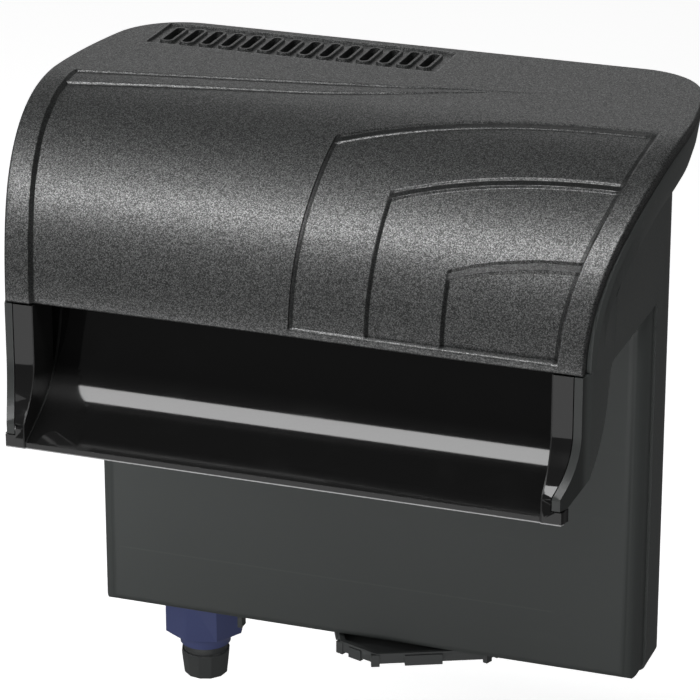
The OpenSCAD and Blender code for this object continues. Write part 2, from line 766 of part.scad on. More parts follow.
// Spigot with bayonet lugs, and the well that the rotor turns in
module rotor_can() color([0.1, 0.1, 0.11]) at_motor() difference() {
    union() {
        translate([0, 0, spigot_z]) cylinder(r = spigot_r, h = spigot_h);
        translate([0, 0, well_low_z - well_wall])
            cylinder(r = well_r + well_wall, h = spigot_z - well_low_z + 2);
        bayonet_ring(spigot_r + lug_reach, 0, lug_z, lug_z + lug_h, 0, lug_angle);
    }
    translate([0, 0, well_low_z]) cylinder(r = well_r, h = far);
    translate([0, 0, groove_z]) tube_groove(spigot_r, 2 * seal_r - turn_gap / 2 + snug, seal_r + snug);
}

module motor_seal() color([0.55, 0.2, 0.15]) at_motor()
    translate([0, 0, groove_z]) ring_seal(spigot_r + turn_gap / 2, seal_r);

module stator_core() color([0.5, 0.5, 0.52]) at_motor() difference() {
    tube(stator_out_r, stator_in_r, stator_z, stator_top_z);
    tube(stator_out_r - core_t, 0.5, stator_z + core_t, stator_top_z - core_t);
}

module coil_bobbin() color([0.85, 0.84, 0.78]) at_motor() difference() {
    tube(stator_out_r - core_t - snug, stator_in_r, stator_z + core_t, stator_top_z - core_t);
    tube(stator_out_r, stator_in_r + 0.8, stator_z + 2 * core_t, stator_top_z - 2 * core_t);
}

module stator_coil() color([0.72, 0.4, 0.18]) at_motor()
    tube(stator_out_r - core_t - 3 * snug, stator_in_r + 0.8 + snug,
        stator_z + 2 * core_t, stator_top_z - 2 * core_t);

module motor_housing() color([0.1, 0.16, 0.38]) at_motor() difference() {
    rotate(22.5 + housing_turn) translate([0, 0, neck_z])
        cylinder(r = housing_r, h = spigot_z - neck_z, $fn = 8);
    translate([0, 0, cup_floor_z]) cylinder(r = cup_r, h = far);
    rotate_extrude() translate([gland_r + 1.4 * taper_h, neck_z]) circle(r = 1.4 * taper_h);
    rotate_extrude() translate([gland_r + 1.4 * taper_h, neck_z - 1]) square([far, 1 + taper_h]);
    translate([0, 0, neck_z - 1]) cylinder(r = thread_hole_r + snug, h = cup_floor_z - neck_z + 2);
}

module cord_gland() color([0.14, 0.145, 0.145]) at_motor() difference() {
    union() {
        rotate(gland_turn) translate([0, 0, gland_low_z])
            cylinder(r1 = gland_low_r, r2 = gland_r, h = gland_h, $fn = gland_sides);
        translate([0, 0, gland_z - 1]) cylinder(r = gland_neck_r, h = neck_z - gland_z + 1);
        translate([0, 0, neck_z - 1]) cylinder(r = thread_hole_r, h = cup_floor_z - neck_z + 1);
    }
    translate([0, 0, gland_z]) tube_groove(gland_neck_r + 1, 1, 1.5);
    translate([0, 0, gland_low_z - 1]) cylinder(r = thread_hole_r - 1.2, h = far);
}

module gland_seal() color([0.05, 0.05, 0.05]) at_motor()
    tube(thread_hole_r - 1.2 - snug, cord_r, gland_low_z + 1, neck_z);

// Eight-cornered dial that is turned against the glass to level the filter
module leveller_cam() color([0.13, 0.135, 0.135]) translate([pivot_x, pivot_y, 0]) difference() {
    union() {
        translate([0, 0, cam_top_z - cam_rim - cam_plate]) linear_extrude(cam_plate) polygon(cam_corners);
        difference() {
            prism(cam_low_z, cam_top_z) polygon(cam_corners);
            prism(cam_low_z - 1, cam_top_z + 1)
                polygon([for (p = cam_corners) p * (1 - 1.12 * cam_rim / norm(p))]);
        }
        translate([0, 0, cam_low_z]) cylinder(r = cam_hub_r, h = cam_h);
        for (i = [0:7]) cam_tabs(cam_corners[i], cam_corners[(i + 1) % 8]);
    }
    translate([0, 0, cam_low_z - 1]) cylinder(r = shoulder_r + run_gap, h = cam_h + 2);
}

// Corner post, and a stop block with a lower lip on the side from p to q
module cam_tabs(p, q) {
    side = norm(q - p);
    turn = atan2(q[1] - p[1], q[0] - p[0]);
    translate([p[0], p[1], cam_low_z - 1]) rotate(turn) {
        translate([-cam_rim, -0.3, 0]) cube([1.6 * cam_rim, cam_rim, cam_h + 0.6]);
        translate([side / 4, -0.7, 0.2]) cube([side / 3, cam_rim, cam_h]);
    }
}

module leveller_screw() color([0.6, 0.6, 0.62]) translate([pivot_x, pivot_y, 0]) difference() {
    union() {
        translate([0, 0, cam_low_z - washer_t - lid_gap - 2.2]) cylinder(r = head_r, h = 2.2);
        translate([0, 0, cam_low_z - washer_t - lid_gap - eps])
            cylinder(r = shoulder_r, h = box_bottom_z - cam_low_z + washer_t + lid_gap + eps);
        translate([0, 0, box_bottom_z - eps]) cylinder(r = thread_r, h = floor_t + boss_h - 3);
    }
    translate([-head_r, -0.5, cam_low_z - washer_t - lid_gap - 3.2]) cube([2 * head_r, 1, 2]);
}

module leveller_washer() color([0.75, 0.72, 0.62]) translate([pivot_x, pivot_y, 0])
    tube(head_r - 0.3, shoulder_r + snug, cam_low_z - washer_t - lid_gap, cam_low_z - lid_gap);

filter_body();
spillway_chute();
lid();
cartridge_frame();
floss_front();
floss_back();
carbon_fill();
intake_riser();
riser_seal();
pump_cover();
upper_bush();
impeller();
rotor_magnet();
impeller_shaft();
lower_bush();
rotor_can();
motor_seal();
stator_core();
coil_bobbin();
stator_coil();
motor_housing();
cord_gland();
gland_seal();
leveller_cam();
leveller_screw();
leveller_washer();
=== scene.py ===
"""Hang-on-back aquarium filter: finishes, soft pads, moulded edges and a studio."""

import json
import math

import bmesh
import bpy
from mathutils import Matrix, Vector, noise
from mathutils.geometry import delaunay_2d_cdt


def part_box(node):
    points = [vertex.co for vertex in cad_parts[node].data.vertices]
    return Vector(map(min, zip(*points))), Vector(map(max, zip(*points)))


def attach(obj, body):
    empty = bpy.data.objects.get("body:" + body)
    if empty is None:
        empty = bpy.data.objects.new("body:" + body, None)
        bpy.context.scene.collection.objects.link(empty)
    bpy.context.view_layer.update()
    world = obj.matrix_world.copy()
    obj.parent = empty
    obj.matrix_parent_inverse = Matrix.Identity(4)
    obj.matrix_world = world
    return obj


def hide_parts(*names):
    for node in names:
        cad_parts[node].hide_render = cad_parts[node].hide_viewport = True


bl_info = {
    "name": "Hang-on-back Aquarium Filter",
    "version": (1, 0, 0),
    "blender": (4, 5, 0),
    "location": "View3D > Sidebar > Tank Filter",
    "description": "Pieces, finishes and studio of a filter that hangs on a tank's rim",
    "category": "Add Mesh",
}

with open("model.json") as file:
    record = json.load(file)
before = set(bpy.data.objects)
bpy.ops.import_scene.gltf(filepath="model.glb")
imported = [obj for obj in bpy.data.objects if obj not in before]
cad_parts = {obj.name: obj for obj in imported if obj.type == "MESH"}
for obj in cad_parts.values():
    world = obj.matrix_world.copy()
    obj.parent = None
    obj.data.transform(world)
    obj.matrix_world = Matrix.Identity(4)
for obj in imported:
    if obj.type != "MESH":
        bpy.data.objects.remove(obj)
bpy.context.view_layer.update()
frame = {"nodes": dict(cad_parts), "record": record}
MM = 0.001

# Places on the body and the spout that their finishes mark, in metres: the painted highlight line
# across the box's front, the painted shade on the wings' front edges, the cheeks' dull inner faces
# and the painted highlight line on the lip's edge
HIGHLIGHT_LINE_Z = -0.1124
HIGHLIGHT_LINE_Y = 0.023
HIGHLIGHT_LINE_LEFT = (-0.092, -0.088)
HIGHLIGHT_LINE_RIGHT = (0.066, 0.07)
WING_PAINTED_SHADE = (-0.0500, -0.0465)
CHEEK_X = 0.087
LIP_HIGHLIGHT = (0.6, 0.6, 0.6)
LIP_HIGHLIGHT_Z = (-0.0411, -0.0408)
LIP_HIGHLIGHT_Y = (-0.0585, -0.0580)

# The lid's plan and profile in millimetres, as the solids have them: arcs are (middle, radius)
PLAN_SIDE = (-96.5, 18.0, 205.0)
PLAN_CORNER = (-96.5 + math.sqrt(180.0**2 - 40.0**2), 58.0, 25.0)
PLAN_BACK = 83.0
CROWN = (22.0, -22.1, 84.9)
NOSE = (0.0, 5.0, 50.0)
NOSE_ANGLE = 129.0

# Colour sockets of a Mix node: its two ends and its result
MIX_ENDS = (6, 7)
MIX_RESULT = 2


def length(name, text, default):
    """A length in metres for the sidebar."""
    return bpy.props.FloatProperty(
        name=name, description=text, default=default, min=0.0, precision=5, unit="LENGTH"
    )


def colour(name, text, default):
    """A colour for the sidebar."""
    return bpy.props.FloatVectorProperty(
        name=name, description=text, default=default, size=3, min=0.0, max=1.0, subtype="COLOR"
    )


class FilterSizes(bpy.types.PropertyGroup):
    """Small sizes that the mouldings and the pads are finished with."""

    body_edge: length("Body edges", "Rounding of the body's edges", 0.0005)
    spout_edge: length("Spout edges", "Rounding of the spout's edges", 0.0005)
    motor_edge: length("Motor edges", "Rounding of the motor cup's edges", 0.0008)
    speck: length("Lid specks", "Size of one glint of the lid's grain", 0.00027)
    grain: length("Lid grain", "Size of one pip of the lid's grain", 0.00016)
    floss_crown: length("Floss crown", "How far a floss pad swells between its edges", 0.0008)
    fibre: length("Fibre length", "Length of a loose fibre on the floss", 0.005)


class FilterColours(bpy.types.PropertyGroup):
    """Base colours of the finishes."""

    lid: colour("Lid", "Charcoal of the grained lid", (0.018, 0.0194, 0.019))
    body: colour("Body", "Charcoal of the satin body", (0.099, 0.108, 0.105))
    spout: colour("Spout", "Black of the glossy spout", (0.009, 0.009, 0.009))
    motor: colour("Motor", "Blue of the motor cup", (0.165, 0.20, 0.46))
    dark: colour("Fittings", "Dark grey of the small mouldings", (0.130, 0.137, 0.136))
    floss: colour("Floss", "White of the floss pads", (0.78, 0.82, 0.84))
    floor: colour("Floor", "Pale floor under the filter", (0.93, 0.93, 0.93))


class Val:
    """A value in a material: sums on it add Math nodes to the material's tree."""

    def __init__(self, paint, socket):
        self.paint = paint
        self.socket = socket

    def step(self, operation, first, second):
        node = self.paint.node("ShaderNodeMath", {0: first, 1: second}, operation=operation)
        return Val(self.paint, node)

    def __add__(self, other):
        return self.step("ADD", self, other)

    __radd__ = __add__

    def __sub__(self, other):
        return self.step("SUBTRACT", self, other)

    def __rsub__(self, other):
        return self.step("SUBTRACT", other, self)

    def __mul__(self, other):
        return self.step("MULTIPLY", self, other)

    def most(self, other):
        return self.step("MAXIMUM", self, other)

    def away(self):
        return self.step("ABSOLUTE", self, 0.0)

    def ease(self, start, end):
        """0 before start, 1 after end, smooth between."""
        sockets = {"Value": self, "From Min": start, "From Max": end}
        node = self.paint.node("ShaderNodeMapRange", sockets, interpolation_type="SMOOTHSTEP")
        return Val(self.paint, node)


class Nodes:
    """A node tree that is filled node by node."""

    def node(self, kind, sockets=(), **settings):
        """Any node: its settings first, then the values or links of its sockets."""
        node = self.tree.nodes.new(kind)
        for key, value in settings.items():
            setattr(node, key, value)
        for key, value in dict(sockets).items():
            for each in value if isinstance(value, list) else [value]:
                self.put(node.inputs[key], each)
        return node

    def put(self, socket, value):
        """A value of a socket, or a link to it, for a node from its first output."""
        value = value.socket if isinstance(value, Val) else value
        value = value.outputs[0] if isinstance(value, bpy.types.Node) else value
        if isinstance(value, bpy.types.NodeSocket):
            self.tree.links.new(value, socket)
        else:
            socket.default_value = value


class Paint(Nodes):
    """A material on one Principled shader, with its values worked out on object coordinates."""

    def __init__(self, name):
        self.material = bpy.data.materials.new(name)
        self.material.use_nodes = True
        self.tree = self.material.node_tree
        self.tree.nodes.clear()
        self.shader = self.node("ShaderNodeBsdfPrincipled")
        self.node("ShaderNodeOutputMaterial", {"Surface": self.shader})
        self.place = self.node("ShaderNodeTexCoord").outputs["Object"]

    def noise(self, size, detail=2.0, stretch=(1.0, 1.0, 1.0)):
        """Noise of a given pip size in metres, drawn out along an axis by stretch."""
        place = self.place
        if stretch != (1.0, 1.0, 1.0):
            place = self.node("ShaderNodeMapping", {"Vector": place, "Scale": stretch})
        sockets = {"Vector": place, "Scale": 0.5 / size, "Detail": detail}
        return Val(self, self.node("ShaderNodeTexNoise", sockets))

    def scuffs(self):
        """Faint marks of rubbing, drawn out sideways."""
        return self.noise(0.006, 4.0, (0.25, 1.0, 2.0)).ease(0.62, 0.8)

    def cells(self, size, output="Distance"):
        """Cells of a given size in metres: how far each point is from its cell's middle."""
        node = self.node("ShaderNodeTexVoronoi", {"Vector": self.place, "Scale": 1.0 / size})
        return Val(self, node.outputs[output])

    def specks(self, size):
        """A random value of 0 to 1 for each pip of a given size in metres."""
        return Val(self, self.node("ShaderNodeSeparateXYZ", {"Vector": self.cells(size, "Color")}))

    def own(self, name):
        """A value that the piece's mesh holds at each vertex."""
        node = self.node("ShaderNodeAttribute", attribute_name=name)
        return Val(self, node.outputs["Fac"])

    def axes(self):
        """The object coordinates as three values in metres."""
        node = self.node("ShaderNodeSeparateXYZ", {"Vector": self.place})
        return [Val(self, socket) for socket in node.outputs]

    def mix(self, share, first, second):
        """Colour between first and second."""
        sockets = {"Factor": share}
        for key, end in zip(MIX_ENDS, (first, second)):
            sockets[key] = end if isinstance(end, bpy.types.NodeSocket) else (*end, 1.0)
        return self.node("ShaderNodeMix", sockets, data_type="RGBA").outputs[MIX_RESULT]

    def relief(self, height, depth):
        """Normal that a height of 0 to 1, depth metres high, gives."""
        sockets = {"Height": height, "Distance": depth, "Strength": 1.0}
        return self.node("ShaderNodeBump", sockets)

    def set(self, **sockets):
        """Values or links of the shader's sockets, spaces written as underscores."""
        for key, value in sockets.items():
            self.put(self.shader.inputs[key.replace("_", " ")], value)
        return self.material


def shade(rgb, factor):
    """The same colour, lighter or darker."""
    return tuple(min(1.0, c * factor) for c in rgb)


# Plain plastics: colour or the name of a sidebar colour, roughness, size and depth of a pip in
# metres, mottling and rubbed marks
PLASTICS = {
    "motor_blue": ("motor", 0.24, 0.0006, 0.000012, 0.1, 0.12),
    "dark_plastic": ("dark", 0.36, 0.0005, 0.00002, 0.12, 0.25),
    "frame_plastic": ((0.045, 0.075, 0.14), 0.34, 0.0006, 0.000015, 0.12, 0.25),
    "impeller_plastic": ((0.55, 0.56, 0.54), 0.30, 0.0005, 0.00001, 0.05, 0.1),
    "bobbin_plastic": ((0.62, 0.55, 0.40), 0.42, 0.0006, 0.000015, 0.06, 0.1),
}


def plastic(name):
    """Injection-moulded plastic: mottled tone, eroded grain and faint rubbed marks."""
    rgb, rough, pip, depth, mottle, scuff = PLASTICS[name]
    rgb = getattr(bpy.context.scene.filter_colours, rgb) if isinstance(rgb, str) else rgb
    paint = Paint(name)
    tone = paint.noise(0.03, 3.0)
    grain = paint.noise(pip, 2.0)
    rubbed = paint.scuffs() * scuff
    base = paint.mix(tone, shade(rgb, 1.0 - mottle), shade(rgb, 1.0 + mottle))
    return paint.set(
        Base_Color=paint.mix(rubbed, base, shade(rgb, 1.6)),
        Roughness=rough + (grain - 0.5) * 0.14 + rubbed * 0.18,
        Normal=paint.relief(grain, depth),
    )


def lid_textured():
    """Spark-eroded charcoal: fine pips that break the light up, with painted shade and painted
    highlight along the relief's lines.
    """
    look = bpy.context.scene.filter_colours
    sizes = bpy.context.scene.filter_sizes
    paint = Paint("lid_textured")
    tone = paint.noise(0.04, 3.0)
    pips = paint.noise(sizes.grain, 1.0)
    speck = paint.specks(sizes.speck)
    # Painted light along the relief's lines: above 0 painted shade, darker and less glossy; below 0
    # painted highlight, lighter and glossier
    painted_light_scale = 1.0 - paint.own("bare") * 0.75
    base = paint.mix(tone, shade(look.lid, 0.9), shade(look.lid, 1.1))
    bright = paint.mix(0.5, base, shade(look.lid, 2.4))
    return paint.set(
        Base_Color=paint.mix(speck * painted_light_scale, shade(look.lid, 0.3), bright),
        Roughness=0.45,
        Specular_IOR_Level=0.25,
        Coat_Weight=(0.12 + speck * speck * 0.88) * painted_light_scale,
        Coat_Roughness=0.44,
        Coat_IOR=2.7,
        Normal=paint.relief(pips, sizes.grain * 0.5),
    )


def body_satin():
    """Satin charcoal with a fine grain, painted shade on the wings' front edges and a painted
    highlight line across its front.
    """
    rgb = bpy.context.scene.filter_colours.body
    paint = Paint("body_satin")
    x, y, z = paint.axes()
    tone = paint.noise(0.03, 3.0)
    grain = paint.noise(0.00035, 2.0)
    # Painted highlight: a thin lighter line across the box's front, where a crease would catch the
    # light
    front = 1.0 - (y - HIGHLIGHT_LINE_Y).away().ease(0.0006, 0.001)
    front = front * x.ease(*HIGHLIGHT_LINE_LEFT) * (1.0 - x.ease(*HIGHLIGHT_LINE_RIGHT))
    highlight_line = (1.0 - (z - HIGHLIGHT_LINE_Z).away().ease(0.0001, 0.0004)) * front
    rubbed = paint.scuffs() * 0.08
    # Painted shade: the wings' front edges are darkened to 0.4 of the body colour
    wing_shade = 1.0 - y.ease(*WING_PAINTED_SHADE)
    base = paint.mix(wing_shade, paint.mix(tone, shade(rgb, 0.94), shade(rgb, 1.06)), shade(rgb, 0.4))
    return paint.set(
        Base_Color=paint.mix(rubbed.most(highlight_line * 0.2), base, shade(rgb, 1.8)),
        Roughness=0.40 + (grain - 0.5) * 0.14 + rubbed * 0.18,
        Normal=paint.relief(grain, 0.00001),
    )


def spout_gloss():
    """Polished black: a mirror skin with slight waves, dried film and a painted highlight line on
    the lip.
    """
    rgb = bpy.context.scene.filter_colours.spout
    paint = Paint("spout_gloss")
    x, y, z = paint.axes()
    waves = paint.noise(0.012, 1.0)
    film = paint.noise(0.008, 4.0).ease(0.5, 0.8)
    dull = 1.0 - (x.away() - CHEEK_X).away().ease(0.0003, 0.0006)
    # Painted highlight: a pale, duller line along the lip's lower edge
    lip_highlight = (1.0 - z.ease(*LIP_HIGHLIGHT_Z)) * (1.0 - y.ease(*LIP_HIGHLIGHT_Y))
    base = paint.mix(lip_highlight, paint.mix(film, rgb, shade(rgb, 1.3)), LIP_HIGHLIGHT)
    return paint.set(
        Base_Color=base,
        Roughness=0.06 + film * 0.02 + dull.most(lip_highlight) * 0.4,
        Normal=paint.relief(waves, 0.000004),
    )


def seal_rubber():
    """Matt black rubber with a bloom of dust."""
    paint = Paint("seal_rubber")
    bloom = paint.noise(0.003, 4.0)
    return paint.set(
        Base_Color=paint.mix(bloom.ease(0.5, 0.75), (0.012, 0.012, 0.012), (0.035, 0.035, 0.034)),
        Roughness=0.62 + bloom * 0.2,
        Normal=paint.relief(paint.noise(0.0004), 0.00002),
    )


def floss():
    """Polyester floss: pale matted fibres."""
    rgb = bpy.context.scene.filter_colours.floss
    paint = Paint("floss")
    mats = paint.noise(0.006, 5.0)
    strands = paint.noise(0.0012, 4.0, (0.3, 1.0, 1.6))
    across = paint.noise(0.0012, 4.0, (1.6, 1.0, 0.3))
    weave = strands.most(across)
    return paint.set(
        Base_Color=paint.mix(mats.ease(0.3, 0.7), shade(rgb, 0.8), rgb),
        Roughness=0.9,
        Sheen_Weight=0.35,
        Normal=paint.relief(weave * 0.7 + mats * 0.3, 0.0006),
    )


def carbon():
    """Black granules packed tight."""
    paint = Paint("carbon")
    lumps = paint.cells(0.0024)
    chips = paint.noise(0.0005, 3.0)
    return paint.set(
        Base_Color=paint.mix(lumps, (0.02, 0.02, 0.02), (0.004, 0.004, 0.004)),
        Roughness=0.55 + chips * 0.3,
        Normal=paint.relief((1.0 - lumps) * 0.8 + chips * 0.2, 0.0009),
    )


def magnet():
    """Pressed ferrite: dark grey with a fine sparkle."""
    paint = Paint("magnet")
    powder = paint.noise(0.0003, 3.0)
    return paint.set(
        Base_Color=paint.mix(powder.ease(0.4, 0.7), (0.02, 0.02, 0.021), (0.06, 0.06, 0.062)),
        Roughness=0.45 + powder * 0.15,
        Metallic=0.35,
        Normal=paint.relief(powder, 0.00002),
    )


def shaft_ceramic():
    """White sintered ceramic, ground along its length."""
    paint = Paint("shaft_ceramic")
    ground = paint.noise(0.0003, 2.0, (1.0, 1.0, 0.1))
    return paint.set(
        Base_Color=paint.mix(ground, (0.74, 0.73, 0.70), (0.82, 0.81, 0.79)),
        Roughness=0.16 + ground * 0.1,
        Normal=paint.relief(ground, 0.000004),
    )


def steel():
    """Bright steel with turning marks."""
    paint = Paint("steel")
    turned = paint.noise(0.0003, 3.0, (0.2, 0.2, 1.5))
    return paint.set(
        Base_Color=paint.mix(turned, (0.48, 0.48, 0.49), (0.62, 0.62, 0.62)),
        Metallic=1.0,
        Roughness=0.24 + turned * 0.14,
        Normal=paint.relief(turned, 0.000008),
    )


def copper():
    """Lacquered copper wire."""
    paint = Paint("copper")
    lacquer = paint.noise(0.002, 3.0)
    return paint.set(
        Base_Color=paint.mix(lacquer, (0.55, 0.20, 0.07), (0.72, 0.30, 0.12)),
        Metallic=1.0,
        Roughness=0.22 + lacquer * 0.16,
    )


FINISHES = (lid_textured, body_satin, spout_gloss, seal_rubber, floss)
FINISHES += (carbon, magnet, shaft_ceramic, steel, copper)
MADE = {}


def finish(slot):
    """The material of a slot, made once."""
    if slot not in MADE:
        own = {make.__name__: make for make in FINISHES}
        MADE[slot] = own[slot]() if slot in own else plastic(slot)
    return MADE[slot]


def slot_of(node):
    """The record's material slot of a CAD node."""
    return next(p["material_slot"] for p in frame["record"]["subparts"] if p["node"] == node)


def paint_nodes(*nodes):
    """CAD nodes whose shape is right keep it, and get their finish."""
    for node in nodes:
        for slot in frame["nodes"][node].material_slots:
            slot.material = finish(slot_of(node))


def solid_copy(node, shape=None):
    """A merged copy of a CAD node's mesh, reshaped if need be, with its flat faces joined."""
    bm = bmesh.new()
    bm.from_mesh(frame["nodes"][node].data)
    bmesh.ops.remove_doubles(bm, verts=bm.verts, dist=1e-6)
    if shape:
        shape(bm)
    bmesh.ops.dissolve_limit(bm, angle_limit=math.radians(0.4), verts=bm.verts, edges=bm.edges)
    return bm


def mesh_of(bm, name):
    """A new mesh of a bmesh, which is freed."""
    mesh = bpy.data.meshes.new(name)
    bm.to_mesh(mesh)
    bm.free()
    return mesh


def placed(name, data):
    """A new object in the scene."""
    piece = bpy.data.objects.new(name, data)
    bpy.context.scene.collection.objects.link(piece)
    return piece


def piece_from(bm, name, slot, smooth=28.0):
    """A new object of a bmesh, smooth but for its sharp edges."""
    mesh = mesh_of(bm, name)
    mesh.polygons.foreach_set("use_smooth", [True] * len(mesh.polygons))
    mesh.set_sharp_from_angle(angle=math.radians(smooth))
    mesh.materials.append(finish(slot))
    return placed(name, mesh)


def moulding(node, name, body, width, shape=None, angle=35.0):
    """A CAD node's copy with rounded edges, which stands for the node."""
    piece = piece_from(solid_copy(node, shape), name, slot_of(node))
    bevel = piece.modifiers.new("edges", "BEVEL")
    bevel.width = width
    bevel.segments = 2
    bevel.limit_method = "ANGLE"
    bevel.angle_limit = math.radians(angle)
    bevel.miter_outer = "MITER_ARC"
    bevel.harden_normals = True
    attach(piece, body)
    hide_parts(node)


class Growth(Nodes):
    """A Geometry Nodes tree with named sizes, whose result becomes a plain mesh."""

    def __init__(self, name):
        self.tree = bpy.data.node_groups.new(name, "GeometryNodeTree")
        for way in ("INPUT", "OUTPUT"):
            self.tree.interface.new_socket("Geometry", in_out=way, socket_type="NodeSocketGeometry")
        self.start = self.tree.nodes.new("NodeGroupInput")
        self.end = self.tree.nodes.new("NodeGroupOutput")
        self.sizes = {}

    def size(self, name, value):
        """A named input of the tree and its value."""
        socket = self.tree.interface.new_socket(name, in_out="INPUT", socket_type="NodeSocketFloat")
        self.sizes[socket.identifier] = value
        return self.start.outputs[name]

    def tube(self, curve, sides, radius):
        """A closed tube of a given number of sides along a curve."""
        sockets = {"Resolution": sides, "Radius": radius}
        ring = self.node("GeometryNodeCurvePrimitiveCircle", sockets)
        sockets = {"Curve": curve, "Profile Curve": ring, "Fill Caps": True}
        return self.node("GeometryNodeCurveToMesh", sockets)

    def random(self, low, high, seed):
        """A random vector at each point, with its parts between two values."""
        sockets = {"Min": (low,) * 3, "Max": (high,) * 3, "Seed": seed}
        return self.node("FunctionNodeRandomValue", sockets, data_type="FLOAT_VECTOR")

    def grow(self, result, mesh, name, body, slot):
        """A plain piece of the tree's result on a mesh, riding a body."""
        whole = self.node("GeometryNodeRealizeInstances", {"Geometry": result})
        sockets = {"Geometry": whole, "Material": finish(slot)}
        self.put(self.end.inputs[0], self.node("GeometryNodeSetMaterial", sockets))
        piece = placed(name, mesh)
        modifier = piece.modifiers.new(name, "NODES")
        modifier.node_group = self.tree
        for key, value in self.sizes.items():
            modifier[key] = value
        grown = piece.evaluated_get(bpy.context.evaluated_depsgraph_get())
        plain = bpy.data.meshes.new_from_object(grown)
        piece.modifiers.remove(modifier)
        piece.data = plain
        plain.name = name
        plain.polygons.foreach_set("use_smooth", [True] * len(plain.polygons))
        plain.set_sharp_from_angle(angle=math.radians(50.0))
        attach(piece, body)
        return piece


# A turn in radians, as the granules and fibres are strewn with
FULL_TURN = 6.28


def coil_winding():
    """The stator's coil: layers of wire wound side by side on the bobbin."""
    low, high = (Vector(c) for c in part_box("stator_coil"))
    middle = (low + high) / 2
    outer = (high.x - low.x) / 2
    inner = min((v.co.xy - middle.xy).length for v in frame["nodes"]["stator_coil"].data.vertices)
    layers = 2
    wire = (outer - inner) / layers
    growth = Growth("coil_winding")
    thick = growth.size("Wire radius", wire / 2 * 0.99)
    tall = high.z - low.z - wire
    turns = growth.size("Turns", math.floor(tall / wire))
    tubes = []
    for k in range(layers):
        reach = growth.size(f"Radius of layer {k + 1}", inner + wire * (k + 0.5))
        sockets = {"Resolution": 40, "Rotations": turns, "Height": tall}
        sockets.update({"Start Radius": reach, "End Radius": reach})
        helix = growth.node("GeometryNodeCurveSpiral", sockets)
        tubes.append(growth.tube(helix, sides=6, radius=thick))
    pack = growth.node("GeometryNodeJoinGeometry", {"Geometry": tubes})
    place = (middle.x, middle.y, low.z + wire / 2)
    coil = growth.node("GeometryNodeTransform", {"Geometry": pack, "Translation": place})
    mesh = bpy.data.meshes.new("coil_winding")
    piece = growth.grow(coil, mesh, "coil_winding", "motor", "copper")
    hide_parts("stator_coil")


def carbon_granules():
    """The carbon: granules packed over a core in each pocket of the frame."""
    sink = 0.0011
    bm = solid_copy("carbon_fill")
    bmesh.ops.recalc_face_normals(bm, faces=bm.faces)
    for v in bm.verts:
        v.co -= sum((f.normal for f in v.link_faces), Vector()) * sink
    mesh = mesh_of(bm, "carbon_core")
    growth = Growth("carbon_granules")
    apart = growth.size("Spacing", 0.0021)
    grit = growth.size("Granule radius", 0.00105)
    sockets = {"Mesh": growth.start, "Distance Min": apart, "Density Max": 400000.0, "Seed": 5}
    kind = "GeometryNodeDistributePointsOnFaces"
    spots = growth.node(kind, sockets, distribute_method="POISSON")
    chip = growth.node("GeometryNodeMeshIcoSphere", {"Radius": grit, "Subdivisions": 1})
    sockets = {"Points": spots, "Instance": chip}
    sockets["Rotation"] = growth.random(0.0, FULL_TURN, seed=2)
    sockets["Scale"] = growth.random(0.6, 1.0, seed=3)
    heap = growth.node("GeometryNodeInstanceOnPoints", sockets)
    both = growth.node("GeometryNodeJoinGeometry", {"Geometry": [growth.start, heap]})
    piece = growth.grow(both, mesh, "carbon_granules", "cartridge", "carbon")
    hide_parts("carbon_fill")


def floss_fibres(pad, side):
    """Loose fibres that curl on a pad's outer face."""
    sizes = bpy.context.scene.filter_sizes
    growth = Growth(pad.name + "_fibres")
    dense = growth.size("Fibres per square metre", 26000.0)
    bend = growth.size("Curl radius", sizes.fibre * 0.8)
    thin = growth.size("Fibre radius", sizes.fibre * 0.012)
    facing = growth.size("Side", side)
    parts = growth.node("ShaderNodeSeparateXYZ", {0: growth.node("GeometryNodeInputNormal")})
    sockets = {0: parts.outputs[1], 1: facing}
    out = growth.node("ShaderNodeMath", sockets, operation="MULTIPLY")
    shown = growth.node("FunctionNodeCompare", {"A": out, "B": 0.8}, operation="GREATER_THAN")
    sockets = {"Mesh": growth.start, "Selection": shown, "Density": dense, "Seed": 7}
    spots = growth.node("GeometryNodeDistributePointsOnFaces", sockets)
    sockets = {"Resolution": 7, "Radius": bend, "Sweep Angle": 1.3}
    curl = growth.tube(growth.node("GeometryNodeCurveArc", sockets), sides=3, radius=thin)
    place = (-sizes.fibre * 0.8, 0.0, 0.0001)
    laid = growth.node("GeometryNodeTransform", {"Geometry": curl, "Translation": place})
    sockets = {"Min": 0.0, "Max": FULL_TURN, "Seed": 4}
    spin = growth.node("FunctionNodeRandomValue", sockets).outputs[1]
    sockets = {"Axis": (0.0, 0.0, 1.0), "Angle": spin}
    about = growth.node("FunctionNodeAxisAngleToRotation", sockets)
    sockets = {"Rotation": spots.outputs["Rotation"], "Rotate By": about}
    turn = growth.node("FunctionNodeRotateRotation", sockets, rotation_space="LOCAL")
    sockets = {"Points": spots, "Instance": laid, "Rotation": turn}
    fluff = growth.node("GeometryNodeInstanceOnPoints", sockets)
    growth.grow(fluff, pad.data.copy(), pad.name + "_fibres", "cartridge", "floss")


def plan_inset(x, y):
    """How far inside the lid's plan a point is, and the outward way there, in millimetres."""
    side_x, side_y, side_r = PLAN_SIDE
    corner_x, corner_y, corner_r = PLAN_CORNER
    across = abs(x)
    turn = math.copysign(1.0, x)
    if y > corner_y and across < corner_x:
        return PLAN_BACK - y, (0.0, 1.0)
    start = math.atan2(corner_y - side_y, corner_x - side_x)
    here = math.atan2(y - corner_y, across - corner_x)
    if start <= here <= math.pi / 2:
        cx, cy, radius = corner_x, corner_y, corner_r
    else:
        cx, cy, radius = side_x, side_y, side_r
    reach = math.hypot(across - cx, y - cy)
    return radius - reach, (turn * (across - cx) / reach, (y - cy) / reach)


